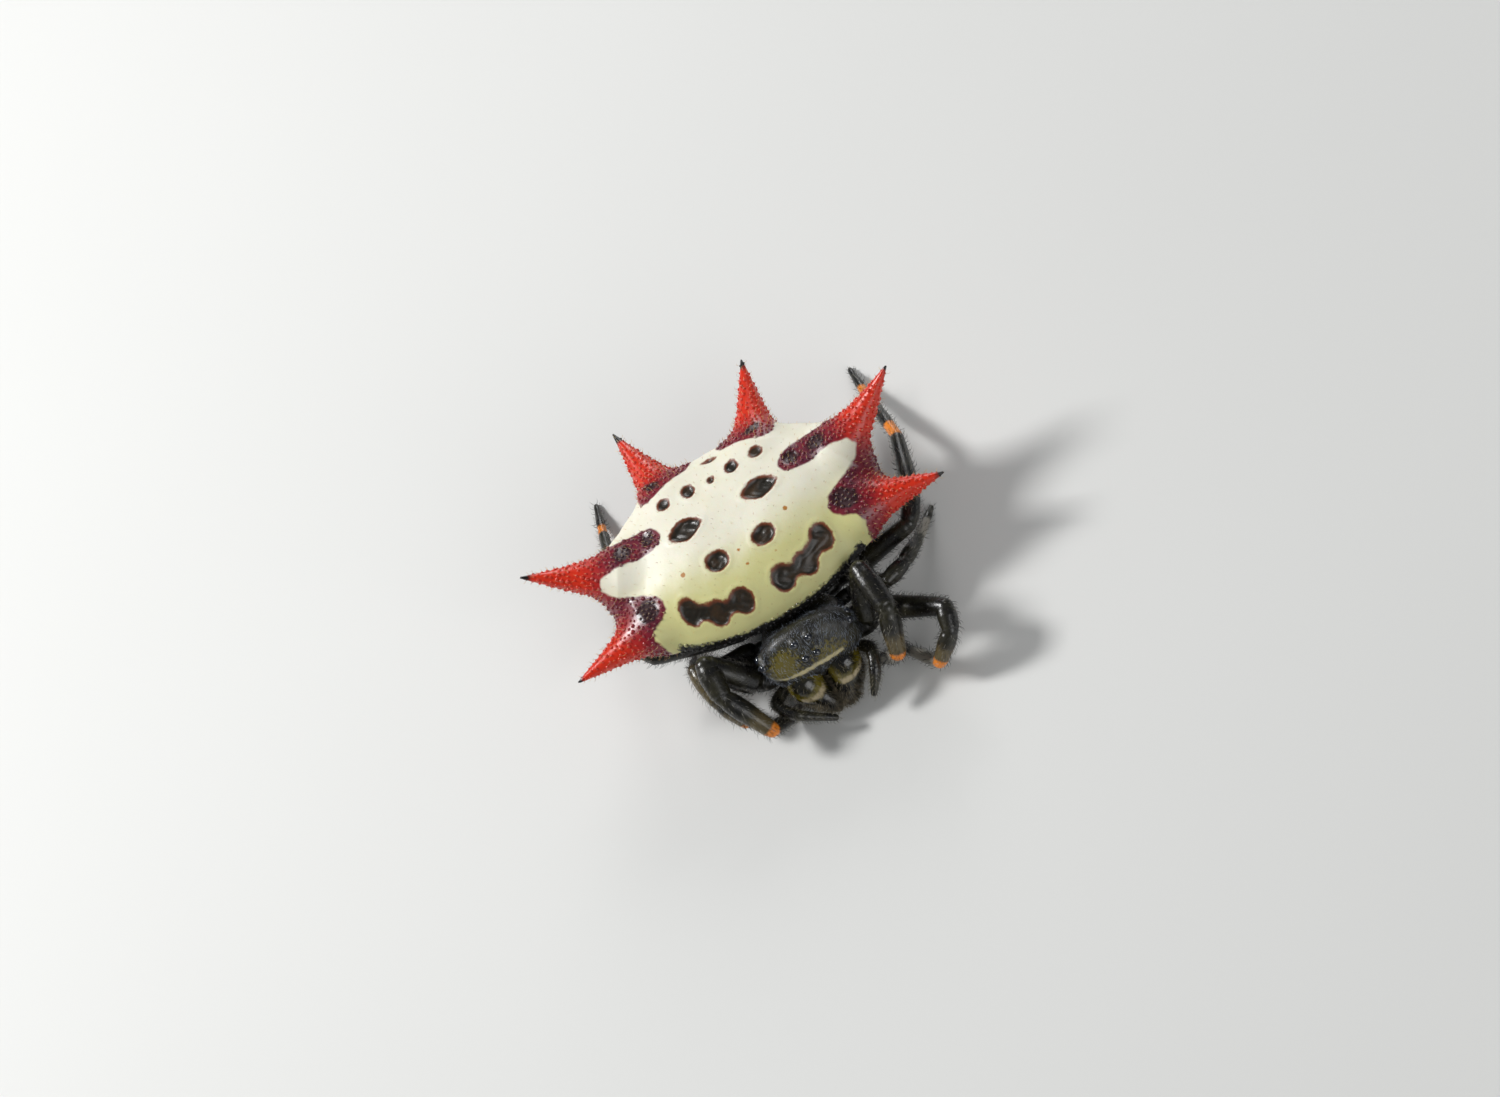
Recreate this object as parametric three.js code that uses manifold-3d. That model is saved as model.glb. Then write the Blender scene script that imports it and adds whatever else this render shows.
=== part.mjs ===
// Spiny orb weaver, adult female, life size, in millimetres.
// +X is the animal's left, -Y is forward, +Z is up, and the feet stand on z = 0.
// Places are written as (left, forward, up) and turned into that frame by at().
import * as THREE from 'three';
import { mergeVertices } from 'three/addons/utils/BufferGeometryUtils.js';
import Module from 'manifold-3d';

const wasm = await Module();
wasm.setup();

// The middle of the standing animal, measured from the line between the side spines' tips
const MIDDLE_LEFT = 0;
const MIDDLE_FORWARD = 1.95;

// Gap between a piece and what it grows from
const ROOT_GAP = 0.15;

// Abdominal shield: a wide oval, tilted so that its rear edge is higher
const SHIELD_HALF_WIDTH = 4.6;
const SHIELD_HALF_LENGTH = 3.0;
const SHIELD_MIDDLE = 1.6;
const SHIELD_SQUARENESS = 2.1;
const RIM_HEIGHT = 3.05;
const RIM_SLOPE = -0.11;
const DOME_HEIGHT = 1.15;
const DOME_SLOPE = 0.08;
const DOME_POWER = 3;
const RIM_THICKNESS = 0.42;
const SHIELD_DEPTH = 0.8;
const SHIELD_SIDES = 48;
const TOP_SHARES = [0.2, 0.4, 0.58, 0.74, 0.87, 0.96];
const EDGE_DROPS = [0.2, 0.7];
const UNDER_SHARES = [0.95, 0.75, 0.4];

// Spines: root centre, tip, slope of the cone, flare of the root and sag between root and tip
const SPINE_FLATTENING = 0.35;
const SPINE_ROOT_TAPER = 0.6;
const SPINE_TAPER_END = 0.1;
const SPINE_TIP_RADIUS = 0.03;
const SPINE_SIDES = 12;
const SPINE_RINGS = 8;
const SPINE_PAIRS = [
  { root: [3.9, 0.85, 3.4], tip: [6.33, 0.0, 4.6], slope: 0.235, flare: 0.35, bow: 0.12 },
  { root: [3.7, 2.75, 2.95], tip: [6.3, 3.26, 3.1], slope: 0.25, flare: 0.3, bow: 0.04 },
  { root: [1.5, -0.55, 3.1], tip: [2.25, -3.58, 3.3], slope: 0.235, flare: 0.45, bow: 0.08 },
];

// Underside of the abdomen: a cone that carries the spinnerets
const VENTER_RINGS = [
  { middle: 1.3, halfWidth: 3.5, halfLength: 1.75, level: 1 },
  { middle: 1.25, halfWidth: 3.1, halfLength: 1.6, level: 0.8 },
  { middle: 1.1, halfWidth: 2.1, halfLength: 1.25, level: 0.5 },
  { middle: 0.95, halfWidth: 1.2, halfLength: 0.85, level: 0.24 },
  { middle: 0.85, halfWidth: 0.6, halfLength: 0.55, level: 0.06 },
];
const VENTER_FOOT = 0.55;
const VENTER_SIDES = 32;

// Spinnerets: a short collar with three pairs of cones
const SPINNERET_COLLAR = 0.46;
const SPINNERET_ROOT = 0.13;
const SPINNERET_REACH = 0.24;
const SPINNERET_RING = 0.24;
const COLLAR_DEPTH = 0.08;
const COLLAR_TAPER = 0.9;
const COLLAR_SIDES = 16;
const CONE_SIDES = 8;
const CONE_STATIONS = [
  { depth: 0.12, spread: 1, width: 1 },
  { depth: 0.6, spread: 1, width: 0.8 },
  { depth: 1, spread: 0.8, width: 0.45 },
];

// Waist between the thorax and the abdomen: share of the way forward, height and radius
const WAIST_STATIONS = [
  { share: 1, up: 1.74, radius: 0.25 },
  { share: 0.5, up: 1.7, radius: 0.21 },
  { share: 0, up: 1.66, radius: 0.25 },
];
const WAIST_LEFT = 0.14;
const WAIST_SIDES = 12;

// Head and thorax
const PROSOMA_LEFT = 0.28;
const PROSOMA_BASE = 1.62;
const CARAPACE_RINGS = [
  { forward: 3.78, halfWidth: 0.7, top: 2.0 },
  { forward: 4.1, halfWidth: 1.15, top: 2.1 },
  { forward: 4.5, halfWidth: 1.36, top: 2.12 },
  { forward: 4.86, halfWidth: 1.44, top: 2.6 },
  { forward: 5.1, halfWidth: 1.54, top: 2.92 },
  { forward: 5.4, halfWidth: 1.6, top: 3.0 },
  { forward: 5.7, halfWidth: 1.52, top: 2.8 },
  { forward: 5.95, halfWidth: 1.3, top: 2.4 },
  { forward: 6.12, halfWidth: 1.05, top: 2.0 },
];
const CARAPACE_SQUARENESS = 2.5;
const CARAPACE_SIDES = 20;
const CARAPACE_BROW = 0.04;

// Eyes: two close pairs on the corners of the head and four in the middle
const EYE_SOCKET_GAP = 0.04;
const EYE_DEPTH = 0.35;
const EYES = [
  { name: 'eye_front_side', aside: 1.44, forward: 5.56, radius: 0.12 },
  { name: 'eye_rear_side', aside: 1.46, forward: 5.28, radius: 0.12 },
  { name: 'eye_front_middle', aside: 0.2, forward: 6.0, radius: 0.11 },
  { name: 'eye_rear_middle', aside: 0.23, forward: 5.72, radius: 0.11 },
];

// Sternum with the lip in front
const STERNUM_RINGS = [
  { forward: 3.8, halfWidth: 0.2 },
  { forward: 4.2, halfWidth: 0.45 },
  { forward: 4.8, halfWidth: 0.58 },
  { forward: 5.2, halfWidth: 0.5 },
  { forward: 5.55, halfWidth: 0.25 },
];
const STERNUM_UNDERSIDE = 0.72;
const STERNUM_SQUARENESS = 2.86;
const STERNUM_SIDES = 12;

// Mouthparts, for the left side; the right side mirrors them
const CHELICERA_PATH = [[0.57, 6.02, 1.3], [0.6, 6.16, 1.08], [0.5, 6.46, 0.8], [0.35, 6.72, 0.55]];
const CHELICERA_RADII = [0.3, 0.5, 0.45, 0.26];
const FANG_PATH = [[0.3, 6.88, 0.36], [0.18, 6.82, 0.24], [0.1, 6.66, 0.18]];
const FANG_RADII = [0.11, 0.08, 0.03];
const MAXILLA_PATH = [[0.3, 5.72, 0.7], [0.27, 5.84, 0.52], [0.24, 5.94, 0.34]];
const MAXILLA_RADII = [0.14, 0.17, 0.1];

// Palps, which lie differently on the two sides
const PALP_RADII = [0.13, 0.2, 0.19, 0.18, 0.1];
const PALPS = {
  left: [[1.23, 5.62, 0.96], [1.74, 6.04, 1.22], [1.8, 6.5, 1.4], [1.62, 6.95, 1.25],
    [1.27, 7.36, 0.92]],
  right: [[-0.67, 5.62, 0.98], [-1.34, 5.98, 1.12], [-1.46, 6.34, 1.28], [-1.08, 6.82, 1.12],
    [-0.13, 7.28, 0.66]],
};

// Legs: the joints in order from the coxa to the sole, each leg in its own pose
const LEG_SIDES = 10;
const SOLE_RADIUS = 0.12;
const COXA_LEFT = 0.8;
const COXA_HEIGHT = 1.16;
const COXAE_FORWARD = [5.3, 4.82, 4.34, 3.86];
const LEGS = {
  leg_1_left: [[2.15, 5.45, 1.38], [2.8, 4.72, 3.05], [3.01, 6.14, 2.75], [2.52, 6.89, 1.45],
    [2.0, 6.34, 0.6], [1.66, 5.91, 0]],
  leg_2_left: [[2.1, 4.56, 0.8], [4.47, 6.62, 2.0], [4.29, 7.29, 1.75], [3.46, 7.58, 0.95],
    [2.74, 6.44, 0.42], [2.35, 5.74, 0]],
  leg_3_left: [[1.9, 4.08, 1.2], [3.21, 4.68, 1.7], [3.83, 4.34, 1.55], [4.38, 3.5, 0.9],
    [4.78, 2.75, 0.38], [5.05, 2.24, 0]],
  leg_4_left: [[1.7, 3.5, 1.12], [4.5, 3.35, 1.72], [4.96, 2.55, 1.72], [5.22, 0.2, 1.3],
    [4.77, -2.17, 0.42], [4.59, -3.41, 0]],
  leg_1_right: [[-1.62, 5.42, 1.36], [-2.65, 4.87, 2.95], [-2.65, 5.82, 2.5], [-1.91, 6.97, 1.35],
    [-1.41, 6.42, 0.5], [-1.12, 5.99, 0]],
  leg_2_right: [[-1.5, 4.78, 1.06], [-3.15, 4.32, 2.05], [-2.96, 5.45, 1.7], [-2.6, 6.05, 0.95],
    [-2.73, 5.3, 0.42], [-2.85, 4.62, 0]],
  leg_3_right: [[-1.35, 4.09, 0.98], [-2.5, 3.92, 0.95], [-3.05, 3.85, 1.0], [-3.5, 3.6, 0.7],
    [-3.5, 3.1, 0.36], [-3.4, 2.65, 0]],
  leg_4_right: [[-1.1, 3.46, 1.15], [-4.2, 2.9, 1.6], [-4.55, 2.2, 1.65], [-4.42, -0.1, 1.3],
    [-4.35, -2.55, 0.42], [-4.27, -3.74, 0]],
};
// Radius of each leg part at its near end, its swelling and its far end
const LEG_PARTS = [
  { name: 'coxa', near: 0.19, swell: 0.2, far: 0.23 },
  { name: 'femur', near: 0.25, swell: 0.35, far: 0.29 },
  { name: 'patella', near: 0.27, swell: 0.32, far: 0.26 },
  { name: 'tibia', near: 0.24, swell: 0.29, far: 0.23 },
  { name: 'metatarsus', near: 0.2, swell: 0.22, far: 0.18 },
  { name: 'tarsus', near: 0.17, swell: 0.16, far: 0.13 },
];
const LEG_GIRTH = { leg_1: 1.0, leg_2: 1.0, leg_3: 0.86, leg_4: 1.0 };
// Shares of a leg part's length at which its radius is given, and how full it is there
const SWELL_PLACES = [
  { share: 0.12, from: 'swell', fullness: 0.97 },
  { share: 0.4, from: 'swell', fullness: 1 },
  { share: 0.8, from: 'far', fullness: 1.04 },
];
const SOLE_HEIGHT = 0.03;

// Finishes
const IVORY = { color: 0xe6dfc4, roughness: 0.3, metalness: 0 };
const BLACK = { color: 0x17140f, roughness: 0.3, metalness: 0 };
const OLIVE_BLACK = { color: 0x231f16, roughness: 0.35, metalness: 0 };
const EYE_BLACK = { color: 0x0b0d12, roughness: 0.08, metalness: 0 };

/** A place given as left, forward and up, in the frame of the part. */
function at(left, forward, up) {
  return new THREE.Vector3(left - MIDDLE_LEFT, MIDDLE_FORWARD - forward, up);
}

/** A list of places, mirrored to the right side where side is -1, about the prosoma's middle. */
function places(path, side = 1, middle = 0) {
  return path.map(([left, forward, up]) => at(middle + side * left, forward, up));
}

/** A closed surface through rings of equal counts, shut by a point at each end. */
function loft(rings, start, end) {
  const sides = rings[0].length;
  const points = [start, ...rings.flat(), end];
  const last = points.length - 1;
  const faces = [];
  const ringPoint = (ring, side) => 1 + ring * sides + (side % sides);
  for (let side = 0; side < sides; side += 1) {
    faces.push([0, ringPoint(0, side + 1), ringPoint(0, side)]);
    faces.push([last, ringPoint(rings.length - 1, side), ringPoint(rings.length - 1, side + 1)]);
    for (let ring = 0; ring < rings.length - 1; ring += 1) {
      const a = ringPoint(ring, side);
      const b = ringPoint(ring, side + 1);
      const c = ringPoint(ring + 1, side + 1);
      const d = ringPoint(ring + 1, side);
      faces.push([a, b, c], [a, c, d]);
    }
  }
  return facingOut(points, faces);
}

/** A geometry from points and faces, with every face turned outwards. */
function facingOut(points, faces) {
  let volume = 0;
  for (const [a, b, c] of faces) {
    volume += points[a].dot(new THREE.Vector3().crossVectors(points[b], points[c]));
  }
  const ordered = volume > 0 ? faces : faces.map(([a, b, c]) => [a, c, b]);
  const geometry = new THREE.BufferGeometry();
  const numbers = points.flatMap((point) => [point.x, point.y, point.z]);
  geometry.setAttribute('position', new THREE.Float32BufferAttribute(numbers, 3));
  geometry.setIndex(ordered.flat());
  geometry.computeVertexNormals();
  return geometry;
}

/** A ring of points round centre, square to direction, with its first point near up. */
function circle(centre, direction, up, radius, sides, flatness = 1) {
  const across = new THREE.Vector3().crossVectors(direction, up).normalize();
  const over = new THREE.Vector3().crossVectors(across, direction).normalize();
  return Array.from({ length: sides }, (_, side) => {
    const angle = (2 * Math.PI * side) / sides;
    return centre.clone()
      .addScaledVector(over, flatness * radius * Math.cos(angle))
      .addScaledVector(across, radius * Math.sin(angle));
  });
}

/** A round tapering body along stations of {place, radius}, with closed ends. */
function sweep(stations, sides, flatEnd = false) {
  let up = new THREE.Vector3(0.1, 0.2, 1).normalize();
  const rings = stations.map((station, index) => {
    const before = stations[Math.max(index - 1, 0)].place;
    const after = stations[Math.min(index + 1, stations.length - 1)].place;
    let direction = new THREE.Vector3().subVectors(after, before).normalize();
    if (index > 0 && index < stations.length - 1) {
      const inward = new THREE.Vector3().subVectors(station.place, before).normalize();
      const outward = new THREE.Vector3().subVectors(after, station.place).normalize();
      direction = inward.add(outward).normalize();
    }
    if (flatEnd && index === stations.length - 1) {
      direction = new THREE.Vector3(0, 0, -1);
    }
    up = up.clone().addScaledVector(direction, -up.dot(direction)).normalize();
    return circle(station.place, direction, up, station.radius, sides, station.flatness);
  });
  return loft(rings, stations[0].place, stations[stations.length - 1].place);
}

/** Stations along a smooth curve through places, with radii blended between the given ones. */
function smoothStations(path, radii, count) {
  const curve = new THREE.CatmullRomCurve3(path, false, 'centripetal');
  return Array.from({ length: count }, (_, index) => {
    const along = index / (count - 1);
    const scaled = along * (radii.length - 1);
    const low = Math.min(Math.floor(scaled), radii.length - 2);
    const radius = THREE.MathUtils.lerp(radii[low], radii[low + 1], scaled - low);
    return { place: curve.getPoint(along), radius };
  });
}

/** A solid for joining and cutting. */
function solid(geometry) {
  const bare = geometry.clone();
  bare.deleteAttribute('normal');
  bare.deleteAttribute('uv');
  const merged = mergeVertices(bare);
  return new wasm.Manifold(new wasm.Mesh({
    numProp: 3,
    vertProperties: new Float32Array(merged.attributes.position.array),
    triVerts: new Uint32Array(merged.index.array),
  }));
}

/** The geometry of the largest closed surface of a solid. */
function surfaceOf(joined) {
  const pieces = joined.decompose();
  pieces.sort((one, other) => other.volume() - one.volume());
  const mesh = pieces[0].getMesh();
  const geometry = new THREE.BufferGeometry();
  geometry.setAttribute('position', new THREE.Float32BufferAttribute(mesh.vertProperties, 3));
  geometry.setIndex(Array.from(mesh.triVerts));
  geometry.computeVertexNormals();
  return geometry;
}

/** A named mesh with its own material. */
function part(name, geometry, finish) {
  const mesh = new THREE.Mesh(geometry, new THREE.MeshStandardMaterial(finish));
  mesh.name = name;
  return mesh;
}

/** A value raised to a power with its sign kept. */
function signedPower(value, power) {
  return Math.sign(value) * Math.abs(value) ** power;
}

/** A place on a rounded oval of the given middle and half sizes, as {left, forward}. */
function onOval(angle, middle, halfWidth, halfLength, squareness) {
  return {
    left: halfWidth * signedPower(Math.sin(angle), 2 / squareness),
    forward: middle + halfLength * signedPower(Math.cos(angle), 2 / squareness),
  };
}

/** Height of the shield's edge at a distance forward. */
function rimHeight(forward) {
  return RIM_HEIGHT + RIM_SLOPE * (forward - SHIELD_MIDDLE);
}

/** Height of the shield's upper side, where share is 0 in its middle and 1 at its edge. */
function domeHeight(forward, share) {
  const rise = DOME_HEIGHT + DOME_SLOPE * (forward - SHIELD_MIDDLE);
  return rimHeight(forward) + rise * (1 - share ** DOME_POWER);
}

/** The six spines' solids. */
function spines() {
  const cones = [];
  for (const { root, tip, slope, flare, bow } of SPINE_PAIRS) {
    for (const side of [1, -1]) {
      const [from, to] = places([root, tip], side);
      const length = from.distanceTo(to);
      const stations = Array.from({ length: SPINE_RINGS }, (_, index) => {
        const left = 1 - index / (SPINE_RINGS - 1);
        const place = from.clone().lerp(to, 1 - left);
        place.z -= bow * Math.sin(Math.PI * left);
        const fullness = Math.min((1 - left) / SPINE_TAPER_END, 1);
        const cone = SPINE_TIP_RADIUS + slope * length * left + flare * left ** 5;
        const radius = cone * THREE.MathUtils.lerp(SPINE_ROOT_TAPER, 1, fullness);
        return { place, radius, flatness: 1 / (1 + SPINE_FLATTENING * left ** 2) };
      });
      cones.push(solid(sweep(stations, SPINE_SIDES)));
    }
  }
  return cones;
}

/** The abdominal shield: a domed plate with a rounded edge, and its six spines. */
function abdomenShield() {
  const ring = (share, height) => Array.from({ length: SHIELD_SIDES }, (_, side) => {
    const angle = (2 * Math.PI * side) / SHIELD_SIDES;
    const place = onOval(angle, SHIELD_MIDDLE, SHIELD_HALF_WIDTH * share, SHIELD_HALF_LENGTH * share,
      SHIELD_SQUARENESS);
    return at(place.left, place.forward, height(place.forward, share));
  });
  const under = (forward, share) => {
    const drop = RIM_THICKNESS + (SHIELD_DEPTH - RIM_THICKNESS) * (1 - share ** 2);
    return rimHeight(forward) - drop;
  };
  const rings = [
    ...TOP_SHARES.map((share) => ring(share, domeHeight)),
    ...EDGE_DROPS.map((drop) => ring(1, (forward) => rimHeight(forward) - RIM_THICKNESS * drop)),
    ...UNDER_SHARES.map((share) => ring(share, under)),
  ];
  const top = at(0, SHIELD_MIDDLE, domeHeight(SHIELD_MIDDLE, 0));
  const bottom = at(0, SHIELD_MIDDLE, under(SHIELD_MIDDLE, 0));
  const joined = spines().reduce((whole, spine) => whole.add(spine), solid(loft(rings, top, bottom)));
  return part('abdomen_shield', surfaceOf(joined), IVORY);
}

/** The underside of the abdomen, close below the shield. */
function abdomenVenter() {
  const ceiling = (forward) => rimHeight(forward) - SHIELD_DEPTH - ROOT_GAP;
  const rings = VENTER_RINGS.map(({ middle, halfWidth, halfLength, level }) => (
    Array.from({ length: VENTER_SIDES }, (_, side) => {
      const angle = (2 * Math.PI * side) / VENTER_SIDES;
      const place = onOval(angle, middle, halfWidth, halfLength, SHIELD_SQUARENESS);
      const height = THREE.MathUtils.lerp(VENTER_FOOT, ceiling(place.forward), level);
      return at(place.left, place.forward, height);
    })));
  const first = VENTER_RINGS[0];
  const last = VENTER_RINGS[VENTER_RINGS.length - 1];
  const top = at(0, first.middle, ceiling(first.middle));
  const bottom = at(0, last.middle, VENTER_FOOT);
  return part('abdomen_venter', loft(rings, top, bottom), BLACK);
}

/** The collar and three pairs of spinnerets below the venter. */
function spinnerets() {
  const { middle } = VENTER_RINGS[VENTER_RINGS.length - 1];
  const height = VENTER_FOOT - ROOT_GAP;
  const collar = sweep([
    { place: at(0, middle, height), radius: SPINNERET_COLLAR },
    { place: at(0, middle, height - COLLAR_DEPTH), radius: SPINNERET_COLLAR * COLLAR_TAPER },
  ], COLLAR_SIDES);
  let joined = solid(collar);
  for (let index = 0; index < 6; index += 1) {
    const angle = (Math.PI / 3) * (index + 0.5);
    const left = SPINNERET_RING * Math.sin(angle);
    const forward = SPINNERET_RING * Math.cos(angle);
    const stations = CONE_STATIONS.map(({ depth, spread, width }) => ({
      place: at(left * spread, middle + forward * spread, height - SPINNERET_REACH * depth),
      radius: SPINNERET_ROOT * width,
    }));
    joined = joined.add(solid(sweep(stations, CONE_SIDES)));
  }
  return part('spinnerets', surfaceOf(joined), OLIVE_BLACK);
}

/** The thin waist between the thorax and the abdomen. */
function pedicel() {
  const front = CARAPACE_RINGS[0].forward - ROOT_GAP;
  const rear = VENTER_RINGS[0].middle + VENTER_RINGS[0].halfLength + ROOT_GAP;
  const stations = WAIST_STATIONS.map(({ share, up, radius }) => ({
    place: at(WAIST_LEFT * (1 + share), THREE.MathUtils.lerp(rear, front, share), up),
    radius,
  }));
  return part('pedicel', sweep(stations, WAIST_SIDES), OLIVE_BLACK);
}

/** Half width and top of the carapace at a distance forward. */
function carapaceAt(forward) {
  const above = CARAPACE_RINGS.findIndex((ring) => ring.forward >= forward);
  const index = Math.min(Math.max(above, 1), CARAPACE_RINGS.length - 1);
  const [rear, front] = [CARAPACE_RINGS[index - 1], CARAPACE_RINGS[index]];
  const share = (forward - rear.forward) / (front.forward - rear.forward);
  return {
    halfWidth: THREE.MathUtils.lerp(rear.halfWidth, front.halfWidth, share),
    top: THREE.MathUtils.lerp(rear.top, front.top, share),
  };
}

/** A place on the upper side of the carapace. */
function onCarapace(aside, forward) {
  const { halfWidth, top } = carapaceAt(forward);
  const share = Math.min(Math.abs(aside) / halfWidth, 0.999);
  const rise = (1 - share ** CARAPACE_SQUARENESS) ** (1 / CARAPACE_SQUARENESS);
  return at(PROSOMA_LEFT + aside, forward, PROSOMA_BASE + (top - PROSOMA_BASE) * rise);
}

/** The eyes' names, centres and radii, each let into the carapace along its normal. */
function eyePlaces() {
  const step = 0.02;
  return EYES.flatMap(({ name, aside, forward, radius }) => [1, -1].map((side) => {
    const centre = onCarapace(side * aside, forward);
    const outward = onCarapace(side * (aside + step), forward).sub(centre);
    const onward = onCarapace(side * aside, forward + step).sub(centre);
    const normal = new THREE.Vector3().crossVectors(onward, outward).normalize();
    if (normal.z < 0) {
      normal.negate();
    }
    centre.addScaledVector(normal, -EYE_DEPTH * radius);
    return { name: `${name}_${side > 0 ? 'left' : 'right'}`, centre, radius };
  }));
}

/** A ball that is smooth enough for an eye or its socket. */
function ball(centre, radius) {
  const geometry = new THREE.SphereGeometry(radius, 12, 8);
  geometry.translate(centre.x, centre.y, centre.z);
  return geometry;
}

/** The carapace with its eye sockets. */
function carapace() {
  const section = (angle, ring) => {
    const power = 2 / CARAPACE_SQUARENESS;
    const aside = ring.halfWidth * signedPower(Math.cos(angle), power);
    const rise = Math.max(Math.sin(angle), 0) ** power;
    return at(PROSOMA_LEFT + aside, ring.forward, PROSOMA_BASE + (ring.top - PROSOMA_BASE) * rise);
  };
  const rings = CARAPACE_RINGS.map((ring) => {
    const arch = Array.from({ length: CARAPACE_SIDES + 1 }, (_, side) => (
      section((Math.PI * side) / CARAPACE_SIDES, ring)));
    return [...arch, at(PROSOMA_LEFT, ring.forward, PROSOMA_BASE)];
  });
  const [rear, front] = [CARAPACE_RINGS[0], CARAPACE_RINGS[CARAPACE_RINGS.length - 1]];
  const rearPoint = at(PROSOMA_LEFT, rear.forward, (rear.top + PROSOMA_BASE) / 2);
  const frontPoint = at(PROSOMA_LEFT, front.forward + CARAPACE_BROW, (front.top + PROSOMA_BASE) / 2);
  let head = solid(loft(rings, rearPoint, frontPoint));
  for (const { centre, radius } of eyePlaces()) {
    head = head.subtract(solid(ball(centre, radius + EYE_SOCKET_GAP)));
  }
  return part('carapace', surfaceOf(head), BLACK);
}

/** The eight eyes. */
function eyes() {
  return eyePlaces().map(({ name, centre, radius }) => part(name, ball(centre, radius), EYE_BLACK));
}

/** The sternum, a deep shield between the coxae. */
function sternum() {
  const ceiling = PROSOMA_BASE - ROOT_GAP;
  const rings = STERNUM_RINGS.map(({ forward, halfWidth }) => {
    const middle = (ceiling + STERNUM_UNDERSIDE) / 2;
    const halfHeight = (ceiling - STERNUM_UNDERSIDE) / 2;
    const power = 2 / STERNUM_SQUARENESS;
    return Array.from({ length: STERNUM_SIDES }, (_, side) => {
      const angle = (2 * Math.PI * side) / STERNUM_SIDES;
      const aside = halfWidth * signedPower(Math.sin(angle), power);
      const rise = halfHeight * signedPower(Math.cos(angle), power);
      return at(PROSOMA_LEFT + aside, forward, middle + rise);
    });
  });
  const middle = (ceiling + STERNUM_UNDERSIDE) / 2;
  const [rear, front] = [STERNUM_RINGS[0], STERNUM_RINGS[STERNUM_RINGS.length - 1]];
  return part('sternum', loft(rings, at(PROSOMA_LEFT, rear.forward, middle),
    at(PROSOMA_LEFT, front.forward, middle)), BLACK);
}

/** Chelicerae, fangs and maxillae, in pairs. */
function mouthparts() {
  const kinds = [
    { name: 'chelicera', path: CHELICERA_PATH, radii: CHELICERA_RADII, count: 9, sides: 14 },
    { name: 'fang', path: FANG_PATH, radii: FANG_RADII, count: 6, sides: 8 },
    { name: 'maxilla', path: MAXILLA_PATH, radii: MAXILLA_RADII, count: 6, sides: 10 },
  ];
  return kinds.flatMap(({ name, path, radii, count, sides }) => [1, -1].map((side) => {
    const stations = smoothStations(places(path, side, PROSOMA_LEFT), radii, count);
    return part(`${name}_${side > 0 ? 'left' : 'right'}`, sweep(stations, sides), BLACK);
  }));
}

/** The two palps. */
function palps() {
  return Object.entries(PALPS).map(([side, path]) => (
    part(`palp_${side}`, sweep(smoothStations(places(path), PALP_RADII, 13), 8), BLACK)));
}

/** One leg from its coxa to the flat sole of its tarsus. */
function leg(name, joints) {
  const number = Number(name.split('_')[1]);
  const side = name.endsWith('left') ? 1 : -1;
  const girth = LEG_GIRTH[`leg_${number}`];
  const coxa = [PROSOMA_LEFT + side * COXA_LEFT, COXAE_FORWARD[number - 1], COXA_HEIGHT];
  const path = places([coxa, ...joints]);
  const sole = path[path.length - 1];
  const ankle = sole.clone().setZ(SOLE_RADIUS + SOLE_HEIGHT);
  path[path.length - 1] = ankle;
  const stations = [];
  LEG_PARTS.forEach((legPart, index) => {
    const [near, far] = [path[index], path[index + 1]];
    stations.push({ place: near.clone(), radius: legPart.near * girth });
    SWELL_PLACES.forEach(({ share, from, fullness }) => {
      const radius = legPart[from] * fullness * girth;
      stations.push({ place: near.clone().lerp(far, share), radius });
    });
  });
  stations.push({ place: ankle, radius: SOLE_RADIUS });
  stations.push({ place: sole, radius: SOLE_RADIUS });
  return part(name, sweep(stations, LEG_SIDES, true), BLACK);
}

const spider = new THREE.Group();
spider.add(abdomenShield(), abdomenVenter(), spinnerets(), pedicel());
spider.add(carapace(), ...eyes(), sternum(), ...mouthparts(), ...palps());
spider.add(...Object.entries(LEGS).map(([name, joints]) => leg(name, joints)));

export default spider;
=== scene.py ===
"""Looks of a life-size spiny orb weaver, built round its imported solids.

Shapes are written in millimetres as (left, forward, up), as the solids are, and become metres only
where a mesh is made. A field is a function of x, y and z in millimetres that is negative inside a
shape; its zero surface becomes a skin.
"""

import math
from functools import partial, reduce

import bpy
import numpy as np
import openvdb
from mathutils import Matrix, Vector


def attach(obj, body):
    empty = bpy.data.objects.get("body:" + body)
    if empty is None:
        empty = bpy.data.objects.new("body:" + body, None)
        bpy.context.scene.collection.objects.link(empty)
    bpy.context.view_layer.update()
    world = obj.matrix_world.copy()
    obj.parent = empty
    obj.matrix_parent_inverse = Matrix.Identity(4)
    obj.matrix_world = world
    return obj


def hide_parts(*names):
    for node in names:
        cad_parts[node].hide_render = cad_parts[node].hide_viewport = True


bl_info = {
    "name": "Spiny orb weaver",
    "version": (1, 0, 0),
    "blender": (4, 5, 0),
    "location": "View3D > Sidebar > Orb weaver",
    "description": "Skins, hairs, finishes and stage of a life-size spiny orb weaver",
    "category": "Object",
}

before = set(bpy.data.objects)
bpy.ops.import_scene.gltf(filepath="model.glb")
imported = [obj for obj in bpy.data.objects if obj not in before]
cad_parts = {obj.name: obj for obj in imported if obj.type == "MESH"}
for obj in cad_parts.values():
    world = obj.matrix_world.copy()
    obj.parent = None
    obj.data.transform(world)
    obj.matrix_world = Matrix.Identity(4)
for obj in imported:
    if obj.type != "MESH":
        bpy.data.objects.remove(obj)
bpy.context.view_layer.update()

MM = 0.001
MIDDLE_FORWARD = 1.95  # how far forward the middle of the box lies
FAR = 9.0  # a distance beyond every mark
SIDES = ((1, "left"), (-1, "right"))

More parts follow.
